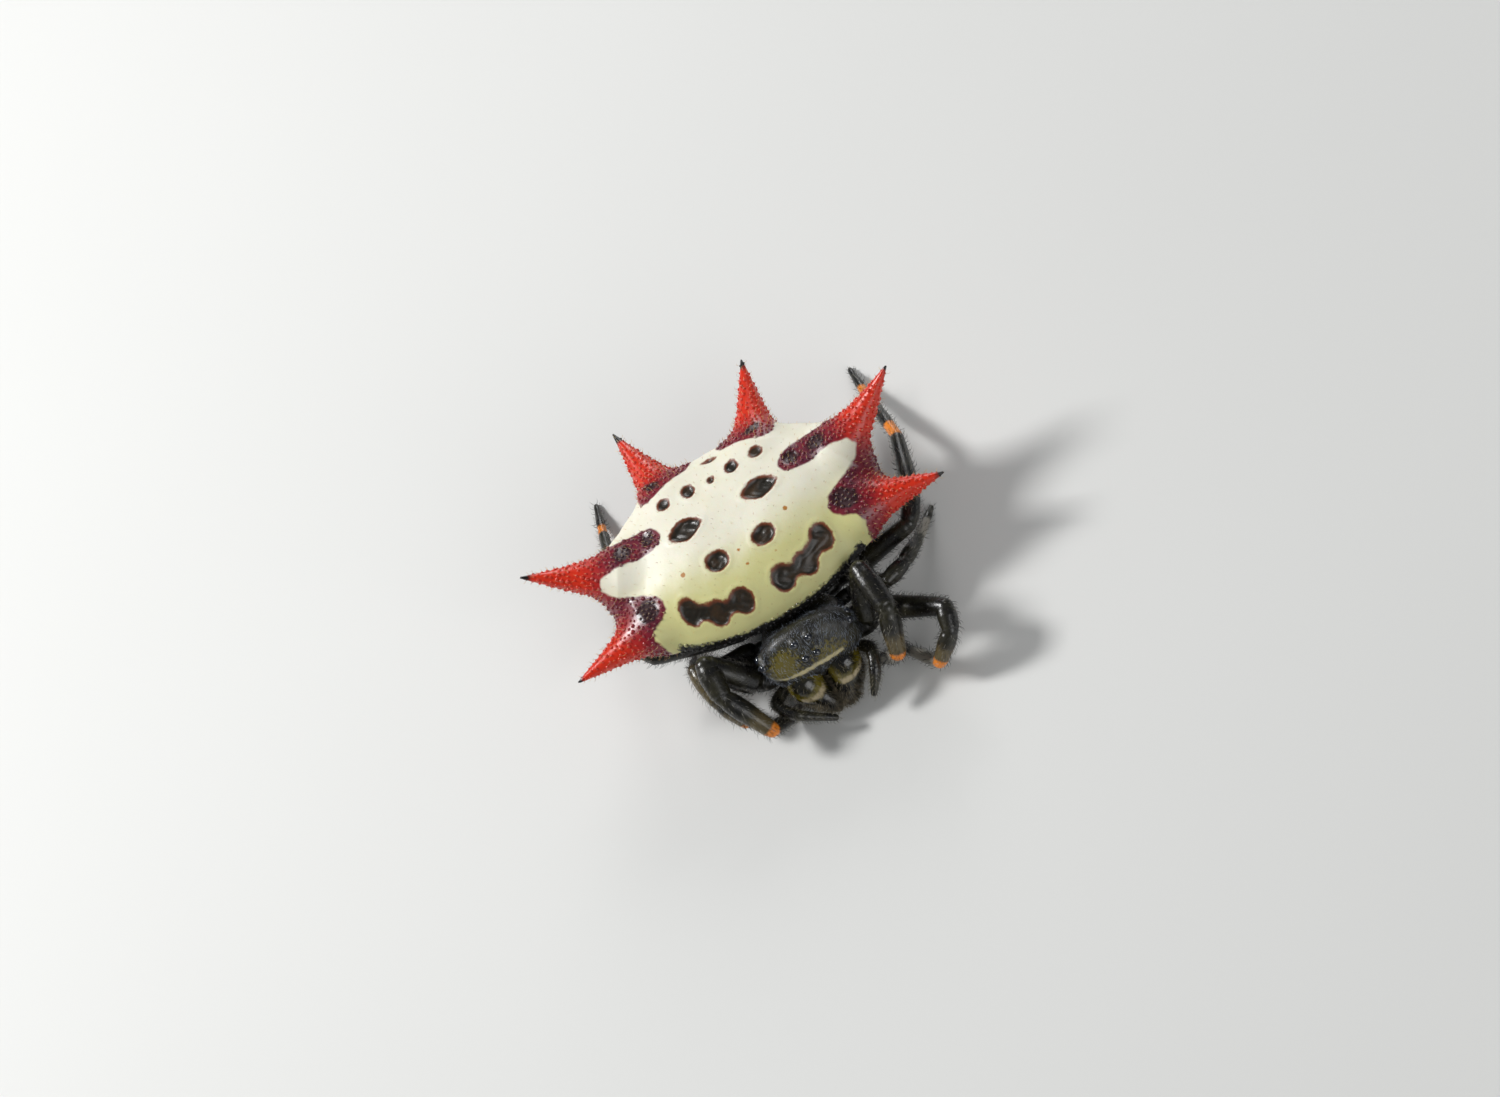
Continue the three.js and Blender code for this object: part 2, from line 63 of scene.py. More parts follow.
# Abdominal shield
SHIELD_HALF_WIDTH = 4.6
SHIELD_HALF_LENGTH = 3.0
SHIELD_MIDDLE = 1.6
SHIELD_SQUARENESS = 2.1
RIM_HEIGHT = 3.05
RIM_SLOPE = -0.11
DOME_HEIGHT = 1.15
DOME_SLOPE = 0.08
DOME_POWER = 3
RIM_THICKNESS = 0.33
SHIELD_DEPTH = 0.8
SPINE_TIP_RADIUS = 0.035
SPINE_FLATTENING = 0.35
SPINE_PAIRS = (
    {"root": (3.9, 0.85, 3.4), "tip": (6.33, 0.0, 4.6), "slope": 0.235, "flare": 0.25,
     "bow": 0.12, "blend": 0.5},
    {"root": (3.7, 2.75, 2.95), "tip": (6.3, 3.26, 3.1), "slope": 0.25, "flare": 0.25,
     "bow": 0.04, "blend": 0.5},
    {"root": (1.5, -0.55, 3.1), "tip": (2.25, -3.58, 3.3), "slope": 0.235, "flare": 0.35,
     "bow": 0.08, "blend": 0.45},
)
ABDOMEN_CORNERS = ((-6.45, 4.75, 0.4), (6.45, -3.75, 4.75))

# Underside: level between foot and shield, middle, half width and half length
VENTER = ((0.0, 0.85, 0.5, 0.48), (0.24, 0.95, 1.2, 0.85), (0.5, 1.1, 2.1, 1.25),
          (0.8, 1.25, 3.1, 1.6), (1.0, 1.3, 3.6, 1.8))
VENTER_FOOT = 0.5

# Outline of the ivory on the left half of the shield, from above; beyond it the shell is red
IVORY_OUTLINE = (
    (-0.5, 4.9), (0.7, 4.85), (1.5, 4.75), (2.4, 4.45), (3.0, 4.1), (3.45, 3.8), (3.64, 3.5),
    (3.5, 3.28), (3.1, 3.1), (2.88, 2.92), (2.85, 2.68), (2.98, 2.42), (3.25, 2.2), (3.6, 2.0),
    (4.0, 1.8), (4.3, 1.52), (4.42, 1.3), (4.25, 1.08), (3.72, 1.04), (3.35, 1.06), (2.95, 1.12),
    (2.5, 1.14), (2.17, 1.06), (2.05, 0.85), (2.1, 0.62), (2.25, 0.42), (2.58, 0.24),
    (3.12, 0.16), (3.55, 0.14), (3.86, -0.04), (3.8, -0.45), (3.3, -0.9), (2.75, -1.2),
    (2.42, -1.05), (2.3, -0.62), (2.02, -0.5), (1.68, -0.6), (1.3, -0.75), (0.9, -0.86),
    (0.6, -0.95), (0.45, -1.15), (0.4, -1.8), (-0.5, -1.8),
)

# Dark pits of the shield: left, forward, half width, half length, turn in degrees, pointedness
PAIRED_PITS = (
    (0.80, 2.60, 0.38, 0.31, -8, 2.0), (1.28, 1.16, 0.58, 0.36, 2, 1.55),
    (0.75, -0.04, 0.22, 0.24, 10, 2.0), (1.60, -0.08, 0.22, 0.19, 0, 2.0),
    (2.27, 3.37, 0.31, 0.38, 15, 2.0), (1.50, 3.82, 0.34, 0.30, 0, 2.0),
    (0.70, 3.88, 0.37, 0.32, -10, 2.0),
)
SINGLE_PITS = ((0.02, 0.02, 0.12, 0.14, 0, 2.0), (0.15, -0.80, 0.22, 0.09, 12, 2.0))
PIT_NECKS = (((2.27, 3.37), (1.50, 3.82), 0.21), ((1.50, 3.82), (0.70, 3.88), 0.17))
ROOT_PITS = (
    (2.48, 0.66, 0.24, 0.24, 0, 2.0), (3.35, 0.66, 0.32, 0.26, 0, 2.0),
    (3.42, 2.68, 0.42, 0.34, 35, 2.0), (1.75, -1.02, 0.3, 0.16, -20, 2.0),
)
SPECKS = ((1.72, 2.20, 0.07), (-0.07, 2.64, 0.05), (-0.02, 3.13, 0.05), (-1.92, 2.41, 0.08),
          (0.9, 3.2, 0.03), (-0.5, 1.9, 0.025))  # left, forward, radius

# Relief of the shield
PIT_DEPTH = 0.085
PIT_WRINKLE = 0.03
ROOT_PIT_DEPTH = 0.06
PIT_LIP = 0.018
FURROW_DEPTH = 0.05
FURROW_HALF_WIDTH = 0.9
SWELLS = (  # height, then rate and shift of the waves to the left and forward
    (0.018, 2.1, 0.6, 2.6, 0.4), (0.008, 5.3, 0.0, 4.7, 1.0),
)

# Head and thorax: forward, half width and top of the carapace
PROSOMA_LEFT = 0.28
PROSOMA_BASE = 1.62
CARAPACE = ((3.7, 0.4, 1.9), (3.78, 0.7, 2.0), (4.1, 1.15, 2.1), (4.5, 1.36, 2.14),
            (4.86, 1.44, 2.6), (5.1, 1.54, 2.9), (5.4, 1.6, 2.98), (5.7, 1.52, 2.8),
            (5.95, 1.3, 2.4), (6.12, 1.05, 2.0), (6.2, 0.8, 1.75))
CARAPACE_SQUARENESS = 2.5
STERNUM = ((3.95, 1.15, 0.3), (4.6, 1.1, 0.46), (5.35, 1.12, 0.34))  # forward, up, radius
PROSOMA_CORNERS = ((-1.5, 6.4, 0.6), (2.1, 2.6, 3.2))
BROW_HEIGHT = 1.92
BROW_HALF_WIDTH = 0.07
BROW_END = 0.9
BROW_REAR = 5.6
# patches of painted olive reflection of green surroundings, on the lower face
OLIVE_REFLECTION_CHEEKS = ((-0.92, 5.92, 0.5, 0.28), (0.6, 6.06, 0.36, 0.12))  # aside, forward, half sizes
CROWN = (0.5, 5.58, 0.85, 0.45)  # the hairy patch: aside, forward, half sizes
EYES = (  # name, aside, forward, radius
    ("eye_front_side", 1.44, 5.56, 0.13), ("eye_rear_side", 1.46, 5.28, 0.14),
    ("eye_front_middle", 0.2, 5.98, 0.12), ("eye_rear_middle", 0.24, 5.68, 0.12),
)

# Mouthparts of the left side, mirrored for the right: the path's places and its radii
JAW_MIDDLE_LEFT = 0.22
CHELICERA = (((0.62, 5.8, 1.5), (0.66, 6.06, 1.18), (0.45, 6.4, 0.83), (0.28, 6.64, 0.58)),
             (0.34, 0.57, 0.39, 0.33))
JAW_CENTRE = (0.66, 6.06, 1.18)
JAW_RADIUS = 0.57
# the black cap faces this way; round it the chelicera's olive is a painted reflection
JAW_CAP = (0.12, 0.5, 0.86)  # direction of the black cap
JAW_CAP_EDGE = 0.74  # the cosine at the cap's edge
# the pale band along the chelicera's lower edge is a painted highlight
JAW_HIGHLIGHT_HALF_WIDTH = 0.075
JAW_HIGHLIGHT_MIDDLE = 0.08
JAW_HIGHLIGHT_REACH = 0.4
FANG = (((0.28, 6.82, 0.42), (0.18, 6.84, 0.26), (0.08, 6.66, 0.2)), (0.12, 0.08, 0.02))
MAXILLA = (((0.3, 5.6, 0.85), (0.27, 5.84, 0.54), (0.24, 5.96, 0.34)), (0.2, 0.2, 0.12))
JAW_TUFT_TOP = 0.95  # below this height the mouthparts are densely haired

PALP_RADII = (0.13, 0.19, 0.18, 0.18, 0.1)
PALPS = {
    "palp_left": ((1.1, 5.5, 1.05), (1.74, 6.04, 1.22), (1.8, 6.5, 1.4), (1.62, 6.95, 1.25),
                  (1.27, 7.36, 0.92)),
    "palp_right": ((-0.5, 5.5, 1.05), (-1.34, 5.98, 1.12), (-1.46, 6.34, 1.28),
                   (-1.08, 6.82, 1.12), (-0.13, 7.28, 0.66)),
}

# Legs: joints from the coxa to the sole, as in the solids
COXA_LEFT = 0.45
COXA_HEIGHT = 1.16
COXAE_FORWARD = (5.3, 4.82, 4.34, 3.86)
LEGS = {
    "leg_1_left": ((2.15, 5.45, 1.38), (2.8, 4.72, 3.05), (3.01, 6.14, 2.75), (2.52, 6.89, 1.45),
                   (2.0, 6.34, 0.6), (1.66, 5.91, 0)),
    "leg_2_left": ((2.1, 4.56, 0.8), (4.47, 6.62, 2.0), (4.29, 7.29, 1.75), (3.46, 7.58, 0.95),
                   (2.74, 6.44, 0.42), (2.35, 5.74, 0)),
    "leg_3_left": ((1.9, 4.08, 1.2), (3.21, 4.68, 1.7), (3.83, 4.34, 1.55), (4.38, 3.5, 0.9),
                   (4.78, 2.75, 0.38), (5.05, 2.24, 0)),
    "leg_4_left": ((1.7, 3.5, 1.12), (4.5, 3.35, 1.72), (4.96, 2.55, 1.72), (5.22, 0.2, 1.3),
                   (4.77, -2.17, 0.42), (4.59, -3.41, 0)),
    "leg_1_right": ((-1.62, 5.42, 1.36), (-2.65, 4.87, 2.95), (-2.65, 5.82, 2.5),
                    (-1.91, 6.97, 1.35), (-1.41, 6.42, 0.5), (-1.12, 5.99, 0)),
    "leg_2_right": ((-1.5, 4.78, 1.06), (-3.15, 4.32, 2.05), (-2.96, 5.45, 1.7),
                    (-2.6, 6.05, 0.95), (-2.73, 5.3, 0.42), (-2.85, 4.62, 0)),
    "leg_3_right": ((-1.35, 4.09, 0.98), (-2.5, 3.92, 0.95), (-3.05, 3.85, 1.0), (-3.5, 3.6, 0.7),
                    (-3.5, 3.1, 0.36), (-3.4, 2.65, 0)),
    "leg_4_right": ((-1.1, 3.46, 1.15), (-4.2, 2.9, 1.6), (-4.55, 2.2, 1.65), (-4.42, -0.1, 1.3),
                    (-4.35, -2.55, 0.42), (-4.27, -3.74, 0)),
}
LEG_RADII = (  # near, swelling and far radius of each leg part
    (0.19, 0.21, 0.23), (0.22, 0.36, 0.27), (0.26, 0.31, 0.25),
    (0.22, 0.28, 0.21), (0.18, 0.2, 0.16), (0.15, 0.15, 0.09),
)
LEG_GIRTH = {"leg_1": 1.2, "leg_2": 1.0, "leg_3": 0.86, "leg_4": 0.95}

# Marks of the legs: leg part, kind, and where it lies: for an orange ring the share of the part's
# length at its middle and its half length in millimetres, for a paler stretch its two end shares
LEG_MARKS = {
    "leg_1_left": ((4, "ring_edge", 0.03, 0.1), (4, "pale_edge", 0.1, 0.9),
                   (3, "tan_edge", 0.55, 1.0)),
    "leg_2_left": ((3, "ring_edge", 0.98, 0.13), (3, "tan_edge", 0.45, 1.0),
                   (4, "pale_edge", 0.0, 0.92)),
    "leg_3_left": ((4, "pale_edge", 0.2, 1.0),),
    "leg_4_left": ((4, "ring_edge", 0.11, 0.32), (5, "ring_edge", 0.12, 0.18)),
    "leg_1_right": ((4, "ring_edge", 0.0, 0.09), (3, "tan_edge", 0.6, 1.0)),
    "leg_2_right": ((4, "ring_edge", 0.05, 0.1), (2, "tan_edge", 0.0, 1.0),
                    (3, "tan_edge", 0.3, 1.0)),
    "leg_3_right": ((4, "ring_edge", 0.05, 0.09),),
    "leg_4_right": ((4, "ring_edge", 0.1, 0.22), (5, "ring_edge", 0.08, 0.16)),
}

# Hairs: slot, seed, length, radius, and how steeply they stand, where 1 is upright
HAIRS = {
    "shield_bristles": ("shield_shell", 5, 0.17, 0.008, 0.75),
    "shield_down": ("shield_shell", 9, 0.11, 0.006, 0.6),
    "venter_bristles": ("black_cuticle", 15, 0.2, 0.008, 0.5),
    "head_hairs": ("black_cuticle", 23, 0.17, 0.0045, 0.12),
    "chelicera_left_hairs": ("black_cuticle", 34, 0.26, 0.009, 0.8),
    "chelicera_right_hairs": ("black_cuticle", 32, 0.26, 0.009, 0.8),
    "maxilla_left_hairs": ("brown_cuticle", 34, 0.26, 0.009, 0.8),
    "maxilla_right_hairs": ("brown_cuticle", 32, 0.26, 0.009, 0.8),
    "palp_left_hairs": ("leg_cuticle", 43, 0.19, 0.008, 0.45),
    "palp_right_hairs": ("leg_cuticle", 44, 0.19, 0.008, 0.45),
    "leg_grey_hairs": ("leg_cuticle", 63, 0.17, 0.008, 0.4),
    "leg_dark_hairs": ("leg_cuticle", 63, 0.24, 0.008, 0.4),
}
HAIR_TONES = {  # colour of a hair and of its root
    "Dark bristles": ((0.05, 0.045, 0.04), (0.01, 0.009, 0.008)),
    "Mouth hairs": ((0.22, 0.18, 0.11), (0.02, 0.016, 0.01)),
    "Palp hairs": ((0.3, 0.27, 0.2), (0.02, 0.018, 0.014)),
    "Grey leg hairs": ((0.42, 0.4, 0.34), (0.1, 0.09, 0.07)),
    "Dark leg hairs": ((0.03, 0.027, 0.02), (0.006, 0.005, 0.004)),
}
GRANULE_SIDES = 7
GRANULE_RINGS = ((-0.5, 0.8), (0.15, 0.98), (0.55, 0.62))  # height and width of each ring

# Lights: name, place, size, power setting and the share of it
LIGHTS = (
    ("key_light", (-86, 50, 96), 30, "key_power", 1),
    ("fill_light", (70, -130, 85), 110, "fill_power", 1),
    ("back_light", (50, 130, 60), 60, "fill_power", 0.7),
)
SKY_COLOUR = (0.9, 0.95, 1.0, 1)
SKY_STRENGTH = 0.17
FLOOR_HALF_WIDTH = 600

# Camera, from the photo's view
VIEW_ELEVATION = 57
VIEW_AZIMUTH = 16.6
VIEW_ROLL = 30
VIEW_DISTANCE = 260
VIEW_PIXELS_PER_MM = 33.7
VIEW_TARGET = (0, 0, 4.6)
VIEW_TARGET_PIXEL = (702.5, 472.5)
IMAGE_SIZE = (1500, 1097)
SENSOR_MM = 36


def spot(left, forward, up):
    """A place given as left, forward and up, in the part's frame."""
    return np.array((left, MIDDLE_FORWARD - forward, up), dtype=np.float64)


def smooth_union(one, other, blend):
    share = np.clip(0.5 + 0.5 * (other - one) / blend, 0, 1)
    return other + (one - other) * share - blend * share * (1 - share)


def smooth_overlap(one, other, blend):
    return -smooth_union(-one, -other, blend)


def smooth_step(low, high, value):
    share = np.clip((value - low) / (high - low), 0, 1)
    return share * share * (3 - 2 * share)


def table_at(table, place):
    """The later columns of a table, read between its rows at places in its first column."""
    first, *others = np.array(table).T
    return [np.interp(place, first, column) for column in others]


def unit(vectors):
    return vectors / (np.linalg.norm(vectors, axis=-1, keepdims=True) + 1e-9)


def oval_reach(across, along, half_width, half_length, squareness):
    """Distance outside a rounded oval about the origin, and how far out a place lies in it."""
    share = ((np.abs(across) / half_width) ** squareness
             + (np.abs(along) / half_length) ** squareness)
    share = share ** (1 / squareness) + 1e-6
    return (np.hypot(across, along) + 1e-6) * (1 - 1 / share), share


def curve_through(points, count):
    """Places spread evenly in number along a smooth curve through points."""
    points = np.array(points)
    padded = np.vstack((2 * points[0] - points[1], points, 2 * points[-1] - points[-2]))
    places = []
    for step in np.linspace(0, len(points) - 1, count):
        index = min(int(step), len(points) - 2)
        t = step - index
        a, b, c, d = padded[index:index + 4]
        places.append(0.5 * (2 * b + (c - a) * t + (2 * a - 5 * b + 4 * c - d) * t ** 2
                             + (3 * b - a - 3 * c + d) * t ** 3))
    return np.array(places)


CARAPACE_CURVE = curve_through(CARAPACE, 80)


def length_of(offset):
    return np.sqrt(sum(part ** 2 for part in offset))


def nearest_on(start, end, *place):
    """Share along a segment of the spot nearest a place, and the offsets from that spot."""
    axis = end - start
    share = sum((p - s) * a for p, s, a in zip(place, start, axis)) / float(axis @ axis)
    share = np.clip(share, 0, 1)
    return share, [p - s - a * share for p, s, a in zip(place, start, axis)]


def ball_field(centre, radius, x, y, z):
    return length_of((x - centre[0], y - centre[1], z - centre[2])) - radius


def rod_field(start, end, radius_at, x, y, z):
    """Field of a round rod whose radius is a function of the share along it."""
    share, offset = nearest_on(start, end, x, y, z)
    return length_of(offset) - radius_at(share)


def taper(near, far):
    return lambda share: near + (far - near) * share


def rods_field(path, radii, blend, x, y, z):
    """Field of rods end to end along a path, run softly together."""
    rods = (rod_field(start, end, radius_at, x, y, z)
            for start, end, radius_at in zip(path[:-1], path[1:], radii))
    return reduce(partial(smooth_union, blend=blend), rods)


def tapers(radii):
    return [taper(near, far) for near, far in zip(radii[:-1], radii[1:])]


def gradient(field, points, step=0.01):
    """Slopes of a field at points."""
    slopes = np.empty_like(points)
    for axis in range(3):
        ahead, behind = points.copy(), points.copy()
        ahead[:, axis] += step
        behind[:, axis] -= step
        slopes[:, axis] = (field(*ahead.T) - field(*behind.T)) / (2 * step)
    return slopes


def normals_of(field, points):
    return unit(gradient(field, points))


def skin(field, low, high, cell):
    """Points and four-sided faces of a field's zero surface, in millimetres."""
    start = np.array(low) - 3 * cell
    counts = np.ceil((np.array(high) + 3 * cell - start) / cell).astype(int)
    x, y, z = (start[i] + cell * np.arange(counts[i], dtype=np.float32) for i in range(3))
    values = field(x[:, None, None], y[None, :, None], z[None, None, :])
    band = 3 * cell
    grid = openvdb.FloatGrid(background=band)
    grid.copyFromArray(np.clip(values, -band, band).astype(np.float32))
    points, _, faces = grid.convertToPolygons(isovalue=0)
    points = points.astype(np.float64) * cell + start
    for _ in range(3):
        slopes = gradient(field, points)
        size = np.sum(slopes ** 2, axis=1) + 1e-6
        step = slopes * (field(*points.T) / size)[:, None]
        points -= np.clip(step, -cell, cell)
    a, b, c = (points[faces[:, i]] for i in range(3))
    if np.sum(a * np.cross(b, c)) < 0:
        faces = faces[:, ::-1]
    return points, faces


def mesh_object(name, points, faces, material, values=None):
    """A smooth shaded object from points in millimetres, with named values at its points."""
    mesh = bpy.data.meshes.new(name)
    faces = np.asarray(faces)
    corners = faces.shape[1]
    mesh.vertices.add(len(points))
    mesh.vertices.foreach_set("co", (np.asarray(points) * MM).astype(np.float32).ravel())
    mesh.loops.add(faces.size)
    mesh.loops.foreach_set("vertex_index", faces.astype(np.int32).ravel())
    mesh.polygons.add(len(faces))
    mesh.polygons.foreach_set("loop_start", np.arange(0, faces.size, corners, dtype=np.int32))
    mesh.update(calc_edges=True)
    mesh.validate()
    mesh.shade_smooth()
    for key, numbers in (values or {}).items():
        layer = mesh.attributes.new(key, "FLOAT", "POINT")
        layer.data.foreach_set("value", np.asarray(numbers, dtype=np.float32))
    mesh.materials.append(material)
    piece = bpy.data.objects.new(name, mesh)
    bpy.context.collection.objects.link(piece)
    return piece


def make_piece(name, slot, points, faces, material, nodes=(), values=None):
    """A piece that rides on the body, takes the given finish and stands for nodes. The slot is not
    used.
    """
    piece = mesh_object(name, points, faces, material, values)
    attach(piece, "root")
    if nodes:
        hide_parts(*nodes)
    return piece


# Fields of the body

def rim_height(forward):
    return RIM_HEIGHT + RIM_SLOPE * (forward - SHIELD_MIDDLE)


def shield_reach(left, forward):
    """Distance outside the shield's outline, and how far out in it a place lies."""
    return oval_reach(left, forward - SHIELD_MIDDLE, SHIELD_HALF_WIDTH, SHIELD_HALF_LENGTH,
                      SHIELD_SQUARENESS)


def spine_axes():
    """Each spine's root and tip in the part's frame, and its pair's sizes."""
    for pair in SPINE_PAIRS:
        for side, _ in SIDES:
            root, tip = ((side * place[0], *place[1:]) for place in (pair["root"], pair["tip"]))
            yield spot(*root), spot(*tip), pair


def spine_field(root, tip, pair, x, y, z):
    """Field of one spine, and how far along it a place lies."""
    share, (across, onward, rise) = nearest_on(root, tip, x, y, z)
    left = 1 - share
    rise = (rise + pair["bow"] * np.sin(np.pi * share)) * (1 + SPINE_FLATTENING * left ** 2)
    radius = (SPINE_TIP_RADIUS + pair["slope"] * float(np.linalg.norm(tip - root)) * left
              + pair["flare"] * left ** 5)
    return (length_of((across, onward, rise)) - radius) * 0.9, share


def both_sides(pits):
    """Pits of the left side with their slightly uneven mirror images."""
    for left, forward, wide, long, turn, power in pits:
        yield left, forward, wide, long, turn, power
        yield -left, forward, wide * 0.97, long * 1.03, -turn, power


def pit_distance(pits, left, forward):
    """Distance outside the nearest of some pits, in millimetres."""
    nearest = np.full(np.broadcast(left, forward).shape, FAR)
    for place_left, place_forward, wide, long, turn, power in pits:
        angle = math.radians(turn)
        across, along = left - place_left, forward - place_forward
        u = across * math.cos(angle) + along * math.sin(angle)
        v = along * math.cos(angle) - across * math.sin(angle)
        reach = (np.abs(u / wide) ** power + np.abs(v / long) ** power) ** (1 / power)
        nearest = np.minimum(nearest, (reach - 1) * min(wide, long))
    return nearest


def dark_pit_distance(left, forward):
    """Distance outside the nearest dark pit in the ivory, with the joined front pits."""
    nearest = pit_distance((*both_sides(PAIRED_PITS), *SINGLE_PITS), left, forward)
    for start, end, width in PIT_NECKS:
        for side, _ in SIDES:
            _, offset = nearest_on(np.array(start) * (side, 1), np.array(end) * (side, 1), left,
                                   forward)
            nearest = smooth_union(nearest, np.hypot(*offset) - width, 0.08)
    return nearest


def root_pit_distance(left, forward):
    return pit_distance(tuple(both_sides(ROOT_PITS)), left, forward)


def outside_outline(outline, left, forward):
    """Distance outside a closed outline, negative inside it."""
    nearest = np.full(left.shape, 99.0)
    inside = np.zeros(left.shape, dtype=bool)
    for start, end in zip(np.array(outline), np.roll(outline, -1, axis=0)):
        _, offset = nearest_on(start, end, left, forward)
        nearest = np.minimum(nearest, np.hypot(*offset))
        run, rise = end - start
        if rise:
            crosses = (start[1] > forward) != (end[1] > forward)
            inside ^= crosses & (left < start[0] + run * (forward - start[1]) / rise)
    return np.where(inside, -nearest, nearest)


def dome_detail(left, forward):
    """Small changes of height on the shield: its pits with their lips, and soft swellings."""
    edge = dark_pit_distance(left, forward)
    wrinkle = 0.5 + 0.5 * np.sin(17 * left + 5 * np.sin(7 * forward)) * np.sin(15 * forward + 2)
    pits = smooth_step(0.03, -0.14, edge) * (-PIT_DEPTH - PIT_WRINKLE * wrinkle)
    lips = PIT_LIP * np.exp(-((edge - 0.06) / 0.06) ** 2)
    pits = pits - ROOT_PIT_DEPTH * smooth_step(0.05, -0.12, root_pit_distance(left, forward))
    furrow = (-FURROW_DEPTH * np.exp(-(left / FURROW_HALF_WIDTH) ** 2)
              * smooth_step(3.9, 3.0, forward))
    swells = sum(height * np.sin(rate * left + shift) * np.sin(onward * forward + start)
                 for height, rate, shift, onward, start in SWELLS)
    return pits + lips + furrow + swells


def shield_field(x, y, z):
    left, forward = x, MIDDLE_FORWARD - y
    rim = rim_height(forward)
    outside, share = shield_reach(left, forward)
    rise = DOME_HEIGHT + DOME_SLOPE * (forward - SHIELD_MIDDLE)
    inner = np.minimum(share, 1.15)
    top = rim + rise * (1 - inner ** DOME_POWER) + dome_detail(left, forward)
    slope = rise * DOME_POWER * inner ** 2 / 3.4
    above = (z - top) / np.sqrt(1 + slope ** 2)
    depth = RIM_THICKNESS + (SHIELD_DEPTH - RIM_THICKNESS) * np.maximum(1 - share ** 2, -0.3)
    edge = smooth_overlap(above, outside + 0 * z, 0.22)
    return smooth_overlap(edge, rim - depth - z, 0.25)


def venter_field(x, y, z):
    left, forward = x, MIDDLE_FORWARD - y
    ceiling = rim_height(forward) - SHIELD_DEPTH
    level = (z - VENTER_FOOT) / (ceiling - VENTER_FOOT)
    middle, wide, long = table_at(VENTER, level)
    outside, _ = oval_reach(left, forward - middle, wide, long, SHIELD_SQUARENESS)
    around = np.arctan2(left, forward - middle)
    folds = 0.035 * np.sin(14 * around + 3 * level) * smooth_step(0.05, 0.4, level)
    rolls = 0.03 * np.sin(16 * level + 2 * np.cos(3 * around))
    body = smooth_overlap((outside + folds + rolls) * 0.85, VENTER_FOOT - z, 0.12)
    return smooth_overlap(body, z - ceiling - 0.4, 0.1)


def abdomen_field(x, y, z):
    whole = smooth_union(shield_field(x, y, z), venter_field(x, y, z), 0.35)
    for root, tip, pair in spine_axes():
        whole = smooth_union(whole, spine_field(root, tip, pair, x, y, z)[0], pair["blend"])
    return whole


def prosoma_field(x, y, z):
    aside, forward = x - PROSOMA_LEFT, MIDDLE_FORWARD - y
    wide, top = table_at(CARAPACE_CURVE, forward)
    tall = np.where(z > PROSOMA_BASE, top - PROSOMA_BASE, 0.3)
    shell, _ = oval_reach(aside, z - PROSOMA_BASE, wide, tall, CARAPACE_SQUARENESS)
    ends = np.maximum(CARAPACE[0][0] - forward, forward - CARAPACE[-1][0] + 0.02)
    shell = smooth_overlap(shell * 0.75, ends + 0 * x, 0.2)
    core = rods_field([spot(PROSOMA_LEFT, onward, up) for onward, up, _ in STERNUM],
                      tapers([radius for _, _, radius in STERNUM]), 0.1, x, y, z)
    waist = rod_field(spot(PROSOMA_LEFT * 0.95, 3.95, 1.72), spot(0.1, 2.7, 1.7),
                      taper(0.27, 0.24), x, y, z)
    whole = smooth_union(smooth_union(shell, core, 0.2), waist, 0.15)
    for _, centre, radius in eye_places(-0.02):
        whole = smooth_union(whole, ball_field(centre, radius * 1.02, x, y, z), 0.16)
    return whole


def on_carapace(aside, forward, lift):
    """A place on the upper side of the carapace, lifted off it along its normal."""
    def surface(a, f):
        wide, top = table_at(CARAPACE_CURVE, f)
        share = min(abs(a) / wide, 0.999) ** CARAPACE_SQUARENESS
        rise = (1 - share) ** (1 / CARAPACE_SQUARENESS)
        return spot(PROSOMA_LEFT + a, f, PROSOMA_BASE + (top - PROSOMA_BASE) * rise)
    here = surface(aside, forward)
    normal = np.cross(surface(aside + 0.02, forward) - here, surface(aside, forward + 0.02) - here)
    return here + lift * (normal * (np.sign(normal[2]) / np.linalg.norm(normal)))


def eye_places(lift):
    """Name, centre and radius of each eye, its centre lifted off the carapace."""
    for name, aside, forward, radius in EYES:
        for side, word in SIDES:
            yield f"{name}_{word}", on_carapace(side * aside, forward, lift), radius


def leg_path(name):
    """Joints of a leg in the part's frame, with its sole last."""
    number = int(name.split("_")[1])
    side = 1 if name.endswith("left") else -1
    coxa = (PROSOMA_LEFT + side * COXA_LEFT, COXAE_FORWARD[number - 1], COXA_HEIGHT)
    path = [spot(*place) for place in (coxa, *LEGS[name])]
    path[-1] = path[-1] + np.array((0, 0, leg_radius(name, 5, 1) - 0.006))
    return path


def leg_radius(name, index, share):
    """Radius of a leg part at a share of its length."""
    near, swell, far = LEG_RADII[index]
    table = ((0, near * 0.92), (0.05, near), (0.15, swell * 0.93), (0.4, swell),
             (0.82, far * 1.1), (0.95, far * 1.05), (1, far * 0.9))
    return LEG_GIRTH[name[:5]] * table_at(table, share)[0]


def leg_field(name, path, x, y, z):
    radii = [partial(leg_radius, name, index) for index in range(len(LEG_RADII))]
    return rods_field(path, radii, 0.035, x, y, z)


def limb_places(path, points):
    """For each point the limb part that it lies on and its share along that part."""
    best = np.full(len(points), 1e9)
    part = np.zeros(len(points), dtype=int)
    along = np.zeros(len(points))
    for index, (start, end) in enumerate(zip(path[:-1], path[1:])):
        axis = end - start
        share = np.clip((points - start) @ axis / float(axis @ axis), 0, 1)
        away = np.linalg.norm(points - start - share[:, None] * axis, axis=1)
        nearer = away < best
        best[nearer], part[nearer], along[nearer] = away[nearer], index, share[nearer]
    return part, along


